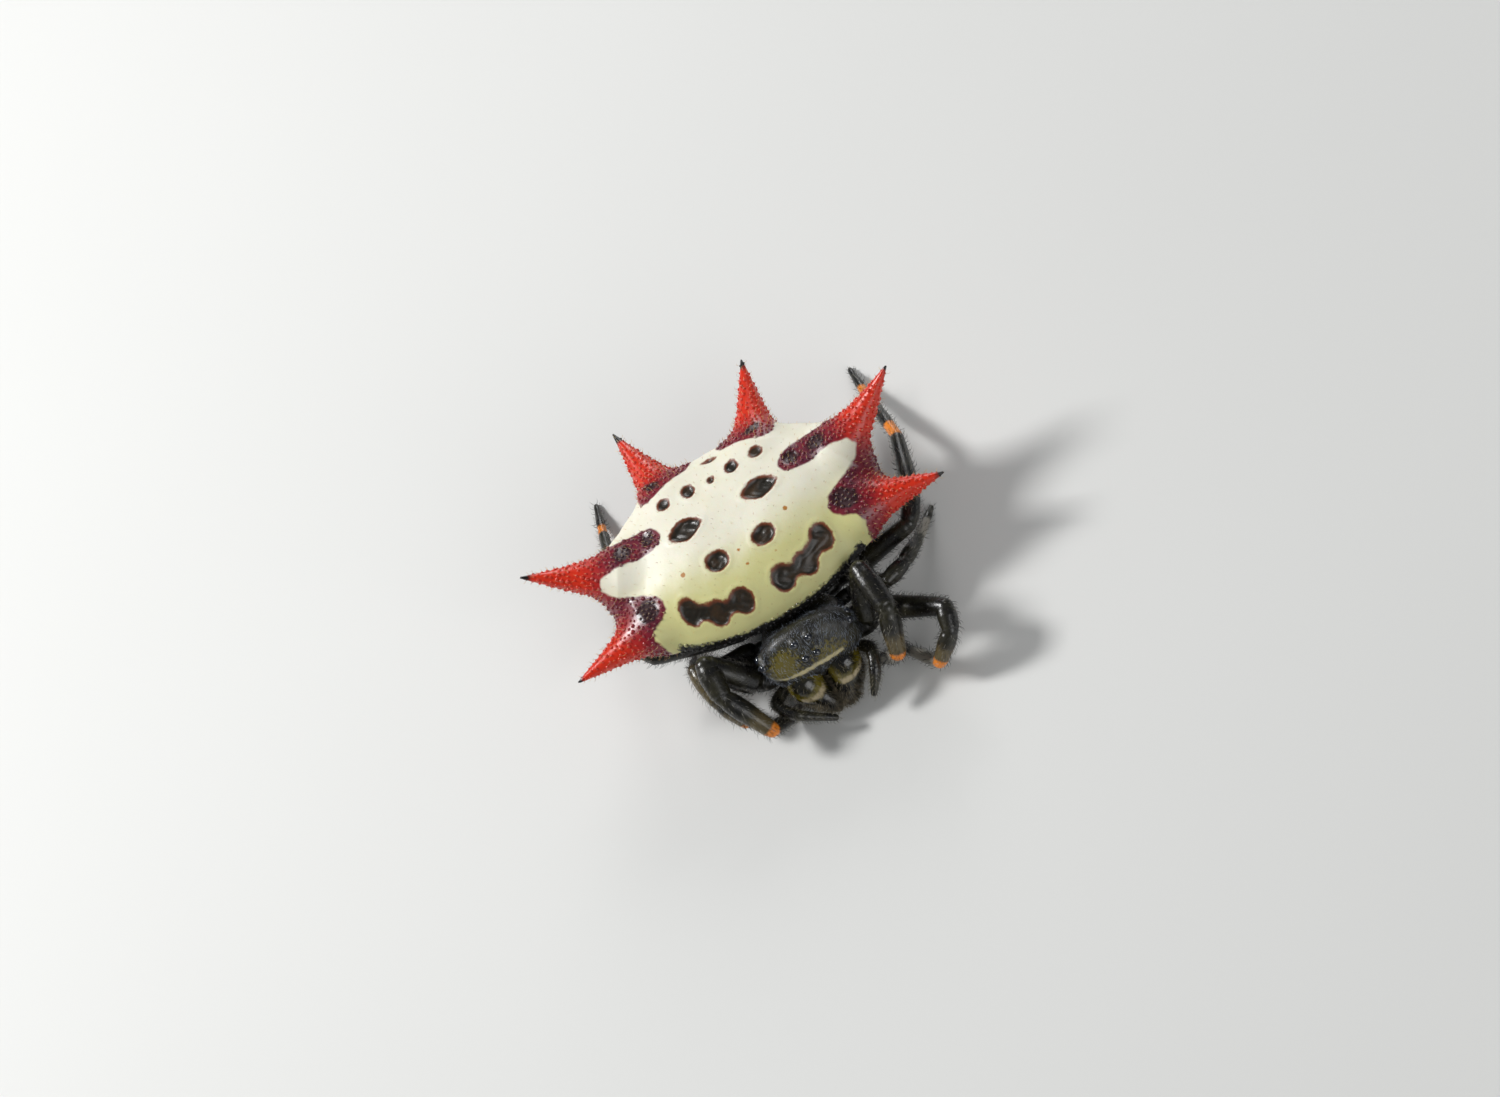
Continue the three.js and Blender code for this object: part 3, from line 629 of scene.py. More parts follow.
def add_limb(name, slot, path, radii, count, material, marks=None):
    """Makes the skin of a smoothly bent limb, and gives its points and their normals."""
    places = curve_through(path, count)
    sizes = np.interp(np.linspace(0, len(radii) - 1, count), range(len(radii)), radii)
    reach = max(radii) + 0.1
    field = partial(rods_field, places, tapers(sizes), 0.02)
    points, faces = skin(field, places.min(axis=0) - reach, places.max(axis=0) + reach,
                         bpy.context.scene.weaver_sizes.body_cell)
    make_piece(f"{name}_skin", slot, points, faces, material, (name,),
               marks(points) if marks else None)
    return points, normals_of(field, points)


# Shader building

def set_inputs(tree, node, values):
    """Gives a node's inputs numbers or colours, or links them to other outputs."""
    for key, value in values.items():
        if isinstance(value, bpy.types.NodeSocket):
            tree.links.new(value, node.inputs[key])
        else:
            node.inputs[key].default_value = value


def add_node(tree, kind, values=None, **settings):
    node = tree.nodes.new(kind)
    for key, value in settings.items():
        setattr(node, key, value)
    set_inputs(tree, node, values or {})
    return node


def maths(tree, operation, *values, clamp=False):
    """Result of a sum on numbers and other outputs."""
    return add_node(tree, "ShaderNodeMath", dict(enumerate(values)), operation=operation,
                    use_clamp=clamp).outputs[0]


def spread(tree, value, low=0.0, high=1.0, to=(0.0, 1.0), smooth=False):
    """A value between low and high, spread between two others."""
    return add_node(tree, "ShaderNodeMapRange",
                    {"Value": value, "From Min": low, "From Max": high, "To Min": to[0],
                     "To Max": to[1]},
                    interpolation_type="SMOOTHSTEP" if smooth else "LINEAR").outputs[0]


def object_millimetres(tree):
    """The place on the object in millimetres."""
    coordinates = add_node(tree, "ShaderNodeTexCoord")
    return add_node(tree, "ShaderNodeVectorMath",
                    {0: coordinates.outputs["Object"], "Scale": 1 / MM},
                    operation="SCALE").outputs[0]


def noise(tree, scale, detail, roughness=0.5):
    return add_node(tree, "ShaderNodeTexNoise",
                    {"Vector": object_millimetres(tree), "Scale": scale, "Detail": detail,
                     "Roughness": roughness}).outputs["Fac"]


def attribute(tree, name):
    return add_node(tree, "ShaderNodeAttribute", attribute_name=name).outputs["Fac"]


def mix_colour(tree, share, one, other):
    one, other = (value if isinstance(value, bpy.types.NodeSocket) else (*value[:3], 1)
                  for value in (one, other))
    return add_node(tree, "ShaderNodeMix", {0: share, 6: one, 7: other},
                    data_type="RGBA").outputs[2]


def new_group(name, inputs, outputs):
    """An empty node group with named sockets, and its input and output nodes."""
    tree = bpy.data.node_groups.new(name, "ShaderNodeTree")
    for key, default in inputs.items():
        socket = tree.interface.new_socket(key, in_out="INPUT", socket_type="NodeSocketFloat")
        socket.default_value = default
    for key, kind in outputs.items():
        tree.interface.new_socket(key, in_out="OUTPUT", socket_type=kind)
    return tree, tree.nodes.new("NodeGroupInput").outputs, tree.nodes.new("NodeGroupOutput")


def mark_group():
    """Mask of a mark from the distance to its edge, with an uneven edge."""
    tree, start, end = new_group(
        "Mark edge", {"Distance": 0.0, "Softness": 0.04, "Wander": 0.05, "Grain": 6.0},
        {"Mask": "NodeSocketFloat"})
    centred = maths(tree, "SUBTRACT", noise(tree, start["Grain"], 3.0), 0.5)
    distance = maths(tree, "MULTIPLY_ADD", centred, start["Wander"], start["Distance"])
    within = maths(tree, "MULTIPLY", start["Softness"], -1.0)
    mask = spread(tree, distance, start["Softness"], within, smooth=True)
    set_inputs(tree, end, {"Mask": mask})
    return tree


def surface_group():
    """Fine relief and uneven gloss of a cuticle."""
    tree, start, end = new_group(
        "Cuticle surface", {"Grain": 12.0, "Relief": 0.3, "Gloss": 0.3, "Unevenness": 0.15},
        {"Normal": "NodeSocketVector", "Roughness": "NodeSocketFloat",
         "Variation": "NodeSocketFloat"})
    cells = add_node(tree, "ShaderNodeTexVoronoi",
                     {"Vector": object_millimetres(tree), "Scale": start["Grain"]},
                     feature="SMOOTH_F1")
    broad, fine = noise(tree, 1.7, 5.0, 0.6), noise(tree, 26.0, 3.0, 0.6)
    height = maths(tree, "MULTIPLY_ADD", cells.outputs["Distance"], -0.6, fine)
    bump = add_node(tree, "ShaderNodeBump",
                    {"Strength": start["Relief"], "Distance": 0.02 * MM, "Height": height})
    rough = maths(tree, "MULTIPLY_ADD", maths(tree, "SUBTRACT", broad, 0.5),
                  start["Unevenness"], start["Gloss"])
    set_inputs(tree, end, {"Normal": bump.outputs[0], "Roughness": rough, "Variation": broad})
    return tree


def mark(tree, distance, softness, wander, grain):
    """Mask of a mark, from the distance to its edge or the name of the value that holds it."""
    if isinstance(distance, str):
        distance = attribute(tree, distance)
    group = bpy.data.node_groups.get("Mark edge") or mark_group()
    return add_node(tree, "ShaderNodeGroup",
                    {"Distance": distance, "Softness": softness, "Wander": wander,
                     "Grain": grain}, node_tree=group).outputs[0]


def surface(tree, grain, relief, gloss, unevenness):
    group = bpy.data.node_groups.get("Cuticle surface") or surface_group()
    return add_node(tree, "ShaderNodeGroup",
                    {"Grain": grain, "Relief": relief, "Gloss": gloss,
                     "Unevenness": unevenness}, node_tree=group).outputs


def new_material(name, **shader_values):
    """A material with a Principled shader, whose fixed values are set on its own sockets."""
    material = bpy.data.materials.new(name)
    material.use_nodes = True
    tree = material.node_tree
    tree.nodes.clear()
    shader = add_node(tree, "ShaderNodeBsdfPrincipled",
                      {key.replace("_", " "): value for key, value in shader_values.items()})
    add_node(tree, "ShaderNodeOutputMaterial", {0: shader.outputs[0]})
    return material, tree, shader


def spine_colour(tree, variation):
    """Colours of a spine from its purple-brown root to its black tip."""
    looks = bpy.context.scene.weaver_colours
    end = 1.2
    stops = ((0.12, looks.spine_root), (0.3, looks.spine_middle), (0.55, looks.spine_red),
             (1.06, looks.spine_red), (1.12, looks.black))
    along = maths(tree, "MULTIPLY_ADD", variation, 0.35, attribute(tree, "tip_share"))
    ramp = add_node(tree, "ShaderNodeValToRGB", {0: maths(tree, "MULTIPLY", along, 1 / end)})
    elements = ramp.color_ramp.elements
    while len(elements) < len(stops):
        elements.new(0.5)
    for element, (place, value) in zip(elements, stops):
        element.position = place / end
        element.color = (*value[:3], 1)
    return ramp.outputs[0]


def ivory_colour(tree, variation):
    """Ivory that turns yellow-green towards the shield's front, with faint dark pores."""
    looks = bpy.context.scene.weaver_colours
    where = add_node(tree, "ShaderNodeSeparateXYZ", {0: object_millimetres(tree)}).outputs
    aside = maths(tree, "ABSOLUTE", where["X"])
    front = spread(tree, maths(tree, "MULTIPLY_ADD", aside, -0.13, where["Y"]), 0.2, -1.7,
                   smooth=True)
    share = maths(tree, "SUBTRACT", maths(tree, "MULTIPLY_ADD", variation, 0.5, front), 0.2,
                  clamp=True)
    cells = add_node(tree, "ShaderNodeTexVoronoi", {"Vector": object_millimetres(tree),
                                                    "Scale": 3.2, "Randomness": 1.0})
    pores = spread(tree, cells.outputs["Distance"], 0.09, 0.02, (0.0, 0.55))
    ivory = mix_colour(tree, share, looks.ivory, looks.ivory_front)
    return mix_colour(tree, pores, ivory, looks.pore)


def shell_material(name, coat, coat_roughness):
    """Ivory shell with brown pits, crimson to vermilion spines and a black underside."""
    looks = bpy.context.scene.weaver_colours
    material, tree, shader = new_material(name, IOR=1.5, Coat_Weight=coat,
                                          Coat_Roughness=coat_roughness,
                                          Subsurface_Weight=0.08, Subsurface_Scale=0.4 * MM)
    grain = surface(tree, 9.0, 0.22, 0.5, 0.2)
    variation = grain["Variation"]
    red = mark(tree, "zone_edge", 0.04, 0.14, 3.0)
    pit_edge = attribute(tree, "pit_edge")
    pit = mark(tree, maths(tree, "ADD", pit_edge, 0.03), 0.045, 0.09, 5.0)
    pit_floor = mix_colour(tree, spread(tree, variation, 0.46, 0.66), looks.pit, looks.pit_warm)
    colour = ivory_colour(tree, variation)
    for share, tint in (
            (red, spine_colour(tree, variation)),
            (mark(tree, "root_pit_edge", 0.07, 0.15, 5.0), looks.root_pit),
            (mark(tree, maths(tree, "ADD", pit_edge, -0.02), 0.03, 0.13, 6.0), looks.pit_rim),
            (pit, pit_floor),
            (mark(tree, "speck_edge", 0.02, 0.06, 14.0), looks.speck),
            (mark(tree, "under_edge", 0.025, 0.12, 5.0), looks.black)):
        colour = mix_colour(tree, share, colour, tint)
    smooth = maths(tree, "MAXIMUM", red, maths(tree, "MULTIPLY", pit, 0.6))
    rough = maths(tree, "MULTIPLY_ADD", smooth, -0.21, grain["Roughness"])
    set_inputs(tree, shader, {"Base Color": colour, "Roughness": rough,
                              "Normal": grain["Normal"]})
    return material


def cuticle_material(name, tone, painted_sheen, gloss=0.28, relief=0.4, marks=(), coat=0.25):
    """Dark cuticle with an uneven painted olive sheen, a painted reflection of green surroundings,
    and marks: value, colour, softness, wander and grain.
    """
    material, tree, shader = new_material(name, IOR=1.5, Coat_Weight=coat, Coat_Roughness=0.16)
    grain = surface(tree, 16.0, relief, gloss, 0.3)
    # painted sheen: an olive reflection of green surroundings, mixed into the black by broad noise
    colour = mix_colour(tree, spread(tree, grain["Variation"], 0.42, 0.68), tone, painted_sheen)
    for key, tint, *edge in marks:
        colour = mix_colour(tree, mark(tree, key, *edge), colour, tint)
    set_inputs(tree, shader, {"Base Color": colour, "Roughness": grain["Roughness"],
                              "Normal": grain["Normal"]})
    return material


def brown_cuticle():
    name = "Brown cuticle"
    looks = bpy.context.scene.weaver_colours
    return bpy.data.materials.get(name) or cuticle_material(name, looks.brown, looks.olive_reflection)


def eye_material():
    """Polished near-black lens, with a painted bluish reflection mixed into its colour."""
    material, tree, shader = new_material("Eye lens", IOR=1.55, Coat_Weight=1.0,
                                          Coat_Roughness=0.03)
    grain = surface(tree, 4.0, 0.0, 0.08, 0.04)
    # painted bluish reflection: dark blue mixed into the near-black by noise
    colour = mix_colour(tree, grain["Variation"], (0.004, 0.004, 0.006), (0.02, 0.026, 0.04))
    set_inputs(tree, shader, {"Base Color": colour, "Roughness": grain["Roughness"]})
    return material


def hair_material(name, *tones):
    """Fine bristles, uneven in tone from one to the next."""
    colour, root_colour = tones or HAIR_TONES[name]
    material, tree, shader = new_material(name, IOR=1.5, Coat_Weight=0.0)
    tone = noise(tree, 5.0, 2.0)
    colour = mix_colour(tree, spread(tree, tone, 0.35, 0.65), root_colour, colour)
    set_inputs(tree, shader, {"Base Color": colour,
                              "Roughness": spread(tree, tone, to=(0.3, 0.5))})
    return material


# Hairs and granules

def scatter(points, spacing, seed, weight):
    """Indices of points at least a spacing apart, thinned by a weight between 0 and 1."""
    random = np.random.default_rng(seed)
    order = random.permutation(len(points))
    order = order[random.random(len(order)) < np.asarray(weight)[order]]
    cells = np.floor(points / spacing).astype(int)
    around = [(i, j, k) for i in (-1, 0, 1) for j in (-1, 0, 1) for k in (-1, 0, 1)]
    taken, chosen = {}, []
    places, homes = points.tolist(), cells.tolist()
    for index in order.tolist():
        a, b, c = homes[index]
        x, y, z = places[index]
        near = (places[other] for i, j, k in around
                for other in taken.get((a + i, b + j, c + k), ()))
        if all((x - u) ** 2 + (y - v) ** 2 + (z - w) ** 2 > spacing ** 2 for u, v, w in near):
            taken.setdefault((a, b, c), []).append(index)
            chosen.append(index)
    return np.array(chosen, dtype=int)


def ring(across, over, sides):
    """Directions spread evenly round an axis."""
    for side in range(sides):
        angle = 2 * math.pi * side / sides
        yield across * math.cos(angle) + over * math.sin(angle)


def unwrap_tufts(piece, faces, patch, per_tuft):
    """Lays each tuft on a small patch at its root's place on the unwrapped skin."""
    unwrap = piece.data.uv_layers.new(name="OFBake")
    turn = 2.4 * np.arange(per_tuft)
    reach = 0.0015 * np.sqrt((np.arange(per_tuft) + 0.5) / per_tuft)
    corner = np.stack((np.cos(turn) * reach, np.sin(turn) * reach), axis=1)
    per_point = (np.asarray(patch)[:, None, :] + corner[None]).reshape(-1, 2)
    unwrap.data.foreach_set("uv", per_point[faces.ravel()].astype(np.float32).ravel())


def tufts(corners, pattern):
    """Points and triangles of many alike small forms, from each one's corners and faces."""
    faces = len(corners) * np.arange(len(corners[0]))[:, None, None] + np.array(pattern)[None]
    return np.stack(corners, axis=1).reshape(-1, 3), faces.reshape(-1, 3)


def granules(roots, normals, radius):
    """Small closed domes that stand on a skin."""
    across = unit(np.cross(normals, (0.31, 0.52, 0.79)))
    over = np.cross(normals, across)
    radius = radius[:, None]
    points = [roots - normals * radius * 0.6]
    for height, width in GRANULE_RINGS:
        points += [roots + (normals * height + offset * width) * radius
                   for offset in ring(across, over, GRANULE_SIDES)]
    points.append(roots + normals * radius * 0.75)
    pattern = []
    *lower, top = (1 + index * GRANULE_SIDES for index in range(len(GRANULE_RINGS)))
    for side in range(GRANULE_SIDES):
        after = (side + 1) % GRANULE_SIDES
        pattern.append((0, 1 + after, 1 + side))
        for low in lower:
            high = low + GRANULE_SIDES
            pattern += [(low + side, low + after, high + after),
                        (low + side, high + after, high + side)]
        pattern.append((top + side, top + after, len(points) - 1))
    return (*tufts(points, pattern), len(points))


def make_bristles(name, roots, normals, lean, patch, material):
    """Curved tapering three-sided bristles that stand on a skin and lean along its lie."""
    slot, seed, length, radius, rise = HAIRS[name]
    random = np.random.default_rng(seed)
    count = len(roots)
    lean = unit(lean - np.sum(lean * normals, axis=1)[:, None] * normals)
    lean = unit(lean + random.normal(0, 0.35, (count, 3)))
    lengths = length * random.uniform(0.55, 1.2, count)[:, None]
    start = roots - normals * 0.02
    middle = roots + unit(normals * (rise + 0.25) + lean * (1 - rise)) * lengths * 0.5
    tip = middle + unit(normals * rise * 0.5 + lean) * lengths * 0.5
    for place in (start, middle, tip):
        place[:, 2] = np.maximum(place[:, 2], 2 * radius)
    across = unit(np.cross(normals, lean))
    over = unit(np.cross(across, tip - start))
    points = [place + offset * radius * size for place, size in ((start, 1.0), (middle, 0.7))
              for offset in ring(across, over, 3)]
    points.append(tip)
    pattern = [(0, 1, 2)]
    for side in range(3):
        after = (side + 1) % 3
        pattern += [(side, after + 3, after), (side, side + 3, after + 3),
                    (side + 3, 6, after + 3)]
    per_bristle = len(points)
    points, faces = tufts(points, pattern)
    a, b, c = (points[faces[:, i]] for i in range(3))
    middles = np.repeat((start + tip) / 2, len(pattern), axis=0)
    if np.sum((a - middles) * np.cross(b - a, c - a)) < 0:
        faces = faces[:, ::-1]
    piece = make_piece(name, slot, points, faces, material)
    unwrap_tufts(piece, faces, patch, per_bristle)


def limb_patch(path, points, column, columns):
    """Places on an unwrap of a limb, along it and round it, in its own column of the sheet."""
    part, along = limb_places(path, points)
    starts = np.array(path[:-1])
    axes = np.diff(path, axis=0)
    direction = unit(axes)[part]
    offset = points - starts[part] - axes[part] * along[:, None]
    side = unit(np.cross(direction, (0.05, 0.1, 1.0)))
    over = np.cross(side, direction)
    around = np.arctan2(np.sum(offset * side, axis=1), np.sum(offset * over, axis=1))
    u = (column + 0.5 + around / (2 * math.pi) * 0.9) / columns
    v = 0.01 + 0.98 * (part + along) / len(axes)
    return np.stack((u, v), axis=1)


def body_roots(points, normals, chosen):
    """Chosen roots with their normals, and their places on an unwrap of the body's upper and
    lower faces, laid side by side."""
    points, normals = points[chosen], normals[chosen]
    low, high = points.min(axis=0), points.max(axis=0)
    u = (points[:, 0] - low[0]) / (high[0] - low[0]) * 0.48
    v = (points[:, 1] - low[1]) / (high[1] - low[1]) * 0.98
    patch = np.stack((u + np.where(normals[:, 2] > 0, 0.0, 0.5), v + 0.005), axis=1)
    return points, normals, patch


# Settings

def colour_setting(name, description, default):
    return bpy.props.FloatVectorProperty(name=name, description=description, subtype="COLOR",
                                         size=3, min=0, max=1, default=default)


def number_setting(name, description, default, **limits):
    return bpy.props.FloatProperty(name=name, description=description, default=default, **limits)


class WeaverColours(bpy.types.PropertyGroup):
    ivory: colour_setting("Ivory", "Back of the shield", (0.8, 0.77, 0.64))
    ivory_front: colour_setting("Ivory, front", "Front slope of the shield", (0.64, 0.61, 0.27))
    pit: colour_setting("Pit", "Inside of the dark pits", (0.01, 0.007, 0.0025))
    pit_warm: colour_setting("Pit, warm", "Warmer parts of the pits", (0.04, 0.019, 0.005))
    root_pit: colour_setting("Root pit", "Pits in the red shell", (0.035, 0.008, 0.012))
    pit_rim: colour_setting("Pit rim", "Edge of the dark pits", (0.2, 0.045, 0.012))
    pore: colour_setting("Pore", "Faint pores of the ivory", (0.3, 0.24, 0.12))
    speck: colour_setting("Speck", "Small golden-brown specks", (0.42, 0.17, 0.02))
    spine_root: colour_setting("Spine root", "Purple-brown roots", (0.1, 0.012, 0.03))
    spine_middle: colour_setting("Spine middle", "Crimson middle", (0.24, 0.008, 0.018))
    spine_red: colour_setting("Spine", "Vermilion spines", (0.66, 0.026, 0.005))
    black: colour_setting("Black", "Black cuticle", (0.004, 0.0035, 0.003))
    brown: colour_setting("Brown", "Brown cuticle of the mouthparts", (0.03, 0.018, 0.01))
    # colour of the painted olive sheen, a reflection of green surroundings painted on the black
    # cuticle
    olive_reflection: colour_setting("Olive", "Sheen of the black cuticle", (0.026, 0.023, 0.009))
    orange: colour_setting("Orange", "Rings of the legs", (0.75, 0.22, 0.015))
    grey: colour_setting("Grey", "Paler stretches of the front legs", (0.26, 0.24, 0.2))
    # colour of the painted highlight band on the chelicerae
    jaw_highlight_band: colour_setting("Jaw band", "Pale band of the chelicerae", (0.42, 0.34, 0.2))
    brow_band: colour_setting("Brow band", "Cream edge of the face", (0.56, 0.48, 0.26))
    # colour of the painted olive reflection on the face and the chelicerae
    gold_olive_reflection: colour_setting("Gold olive", "Olive cheeks of the face", (0.14, 0.11, 0.01))
    tan: colour_setting("Tan", "Olive-brown stretches of the front legs", (0.1, 0.075, 0.03))
    pale_hair: colour_setting("Pale hair", "Hairs of the head", (0.56, 0.63, 0.74))
    gold_hair: colour_setting("Gold hair", "Hairs of the spines", (0.9, 0.68, 0.28))


class WeaverSizes(bpy.types.PropertyGroup):
    abdomen_cell: number_setting("Abdomen cell", "Fineness of the abdomen's skin, in millimetres",
                                 0.05, min=0.02, max=0.2)
    body_cell: number_setting("Body cell", "Fineness of the other skins, in millimetres", 0.028,
                              min=0.015, max=0.1)
    granule: number_setting("Granule", "Radius of a granule on the spines, in millimetres", 0.068,
                            min=0.01, max=0.2)


class WeaverStage(bpy.types.PropertyGroup):
    elevation: number_setting("Elevation", "Height of the view above the floor, in degrees",
                              VIEW_ELEVATION, min=1, max=89)
    azimuth: number_setting("Azimuth", "Turn of the view from straight ahead, in degrees",
                            VIEW_AZIMUTH)
    roll: number_setting("Roll", "Turn of the camera about its line of sight, in degrees",
                         VIEW_ROLL)
    key_power: number_setting("Key light", "Power of the main light", 0.17, min=0, unit="POWER")
    fill_power: number_setting("Fill light", "Power of the soft light", 0.1, min=0, unit="POWER")


class Maker:
    """What every operator here shares."""
    bl_options = {"REGISTER", "UNDO"}


def shell_values(points):
    """Values at places on the abdomen that its finish is drawn from."""
    left, forward, up = points[:, 0], MIDDLE_FORWARD - points[:, 1], points[:, 2]
    _, share = shield_reach(left, forward)
    above_rim = up - rim_height(forward)
    tip_share = np.zeros(len(points))
    for root, tip, pair in spine_axes():
        away, along = spine_field(root, tip, pair, *points.T)
        tip_share = np.maximum(tip_share, smooth_step(0.4, 0.0, away) * along)
    zone = -outside_outline(IVORY_OUTLINE, np.abs(left), forward)
    upper = above_rim > -0.2
    specks = np.full(len(points), FAR)
    for place_left, place_forward, radius in SPECKS:
        specks = np.minimum(specks, np.hypot(left - place_left, forward - place_forward) - radius)
    front_edge = np.minimum((0.975 - share) * 3.5, above_rim + 0.12)
    under = above_rim + 0.36
    under = under + (front_edge - under) * smooth_step(3.2, 3.7, forward)
    under = under + 0.4 * smooth_step(3.05, 3.5, np.abs(left)) * (forward > 2)
    under = np.where((share < 0.9) & (above_rim > -0.1), FAR, under)
    return {"zone_edge": np.minimum(zone, above_rim + 0.25), "tip_share": tip_share,
            "pit_edge": np.where(upper, dark_pit_distance(left, forward), FAR),
            "root_pit_edge": np.where(upper, root_pit_distance(left, forward), FAR),
            "speck_edge": specks,
            "under_edge": under + FAR * smooth_step(0.15, 0.35, tip_share)}


class WEAVER_OT_abdomen(Maker, bpy.types.Operator):
    """Makes the abdomen: shield, spines and underside in one skin, with granules and bristles"""
    bl_idname = "weaver.abdomen"
    bl_label = "Abdomen"

    def execute(self, context):
        sizes = context.scene.weaver_sizes
        low, high = (spot(*corner) for corner in ABDOMEN_CORNERS)
        points, faces = skin(abdomen_field, low, high, sizes.abdomen_cell)
        normals = normals_of(abdomen_field, points)
        values = shell_values(points)
        make_piece("abdomen_skin", "shield_shell", points, faces,
                   shell_material("Shield shell", 0.1, 0.3), ("abdomen_shield", "abdomen_venter"),
                   values)
        self.add_granules(points, normals, values, sizes.granule)
        self.add_down(points, normals, values)
        return {"FINISHED"}

    def add_granules(self, points, normals, values, size):
        """Granules of the spines and the black rim, with a bristle on each of the spines'."""
        zone, under, tip_share = values["zone_edge"], values["under_edge"], values["tip_share"]
        rim_near = smooth_step(0.24, 0.14, np.abs(under + 0.14))
        wanted = np.maximum(smooth_step(0.02, -0.2, zone), rim_near)
        wanted = wanted * (under > -0.34) * ((zone < 0.02) | (under < 0.01)) * (tip_share < 0.97)
        chosen = scatter(points, 0.14, 3, 0.9 * wanted)
        radius = size * np.random.default_rng(11).uniform(0.6, 1.15, len(chosen))
        radius = radius * (1 - 0.5 * smooth_step(0.6, 1, tip_share[chosen]))
        roots, outward, patch = body_roots(points, normals, chosen)
        beads, faces, per_bead = granules(roots, outward, radius)
        bead_values = {key: np.repeat(value[chosen], per_bead) for key, value in values.items()}
        piece = make_piece("shield_granules", "shield_shell", beads, faces,
                           shell_material("Shield granules", 0.4, 0.1), (), bead_values)
        unwrap_tufts(piece, faces, patch, per_bead)
        lean = roots * (1, 1, 0) + (0, 0, 0.4)
        red = under[chosen] > 0.02
        make_bristles("shield_bristles", (roots + outward * radius[:, None] * 0.5)[red],
                      outward[red], lean[red], patch[red], self.gold_hair())

    def add_down(self, points, normals, values):
        """Fine down of the ivory and dark bristles of the underside."""
        under = values["under_edge"]
        ivory = (values["zone_edge"] > 0) & (values["pit_edge"] > 0.05) & (under > 0)
        roots, outward, patch = body_roots(points, normals, scatter(points, 0.3, 7, 0.9 * ivory))
        make_bristles("shield_down", roots, outward, roots * (1, 1, 0), patch, self.gold_hair())
        chosen = scatter(points, 0.16, 13, 0.95 * ((under < -0.05) & (points[:, 2] < 3.2)))
        roots, outward, patch = body_roots(points, normals, chosen)
        make_bristles("venter_bristles", roots, outward, np.array((0, 0.3, -1)), patch,
                      hair_material("Dark bristles"))

    @staticmethod
    def gold_hair():
        name = "Gold bristles"
        tone = bpy.context.scene.weaver_colours.gold_hair
        return bpy.data.materials.get(name) or hair_material(name, tone, (0.35, 0.12, 0.05))


class WEAVER_OT_spinnerets(Maker, bpy.types.Operator):
    """Makes the spinnerets: a collar with three pairs of cones"""
    bl_idname = "weaver.spinnerets"
    bl_label = "Spinnerets"

    def execute(self, context):
        middle = VENTER[0][1]

        def field(x, y, z):
            collar = rod_field(spot(0, middle, 0.6), spot(0, middle, 0.42), taper(0.4, 0.36),
                               x, y, z)
            whole = smooth_overlap(collar, np.abs(z - 0.47) - 0.12, 0.05)
            for index in range(6):
                angle = math.pi / 3 * (index + 0.5)
                reach = 0.24 if index % 3 else 0.19
                root, tip = (spot(width * math.sin(angle), middle + width * math.cos(angle), up)
                             for width, up in ((reach, 0.42), (0.7 * reach, 0.21)))
                cone = rod_field(root, tip, taper(0.12, 0.05), x, y, z)
                whole = smooth_union(whole, cone, 0.03)
            return whole

        centre = spot(0, middle, 0.4)
        points, faces = skin(field, centre - (0.6, 0.6, 0.3), centre + (0.6, 0.6, 0.35), 0.025)
        make_piece("spinnerets_skin", "brown_cuticle", points, faces, brown_cuticle(),
                   ("spinnerets",))
        return {"FINISHED"}


class WEAVER_OT_prosoma(Maker, bpy.types.Operator):
    """Makes the head and thorax with the waist and sternum in one skin"""
    bl_idname = "weaver.prosoma"
    bl_label = "Head and thorax"

    def execute(self, context):
        looks = context.scene.weaver_colours
        low, high = (spot(*corner) for corner in PROSOMA_CORNERS)
        points, faces = skin(prosoma_field, low, high, context.scene.weaver_sizes.body_cell)
        aside, forward, up = (points * (1, -1, 1) + (-PROSOMA_LEFT, MIDDLE_FORWARD, 0)).T
        band = np.abs(up - BROW_HEIGHT) - BROW_HALF_WIDTH * smooth_step(1.6, 0.4, np.abs(aside))
        band = np.maximum(np.maximum(band, BROW_REAR - forward), aside - BROW_END)
        # olive cheeks: a painted reflection of green surroundings, kept above the brow band
        olive_reflection = np.full(len(points), FAR)
        for place_aside, place_forward, wide, long in OLIVE_REFLECTION_CHEEKS:
            cheek = np.hypot((aside - place_aside) / wide, (forward - place_forward) / long) - 1
            olive_reflection = np.minimum(olive_reflection, np.maximum(cheek * long, BROW_HEIGHT - up))
        material = cuticle_material("Black cuticle", looks.black, looks.olive_reflection, 0.42, 0.5,
                                    (("olive_edge", looks.gold_olive_reflection, 0.1, 0.8, 12.0),
                                     ("pale_edge", looks.brow_band, 0.035, 0.16, 5.0)), 0.08)
        make_piece("prosoma_skin", "black_cuticle", points, faces, material,
                   ("carapace", "sternum", "pedicel"), {"pale_edge": band, "olive_edge": olive_reflection})
        bare = (up <= 1.2) | (forward <= 3.9)
        for _, centre, radius in eye_places(0.03):
            bare |= np.linalg.norm(points - centre, axis=1) < radius * 1.25
        crown_aside, crown_forward, wide, long = CROWN
        crown = np.hypot((aside - crown_aside) / wide, (forward - crown_forward) / long)
        weight = (0.1 + 0.1 * (forward > 5.2) * (olive_reflection > 0.05)
                  + 0.8 * smooth_step(1.25, 0.5, crown))
        chosen = scatter(points, 0.042, 21, ~bare * weight)
        roots, outward, patch = body_roots(points, normals_of(prosoma_field, points), chosen)
        pale = hair_material("Pale head hairs", looks.pale_hair, (0.1, 0.105, 0.12))
        aside = aside[chosen]
        lean = np.stack((-aside * 0.3, -np.ones(len(chosen)), -0.2 * aside ** 2), axis=1)
        make_bristles("head_hairs", roots, outward, lean, patch, pale)
        return {"FINISHED"}


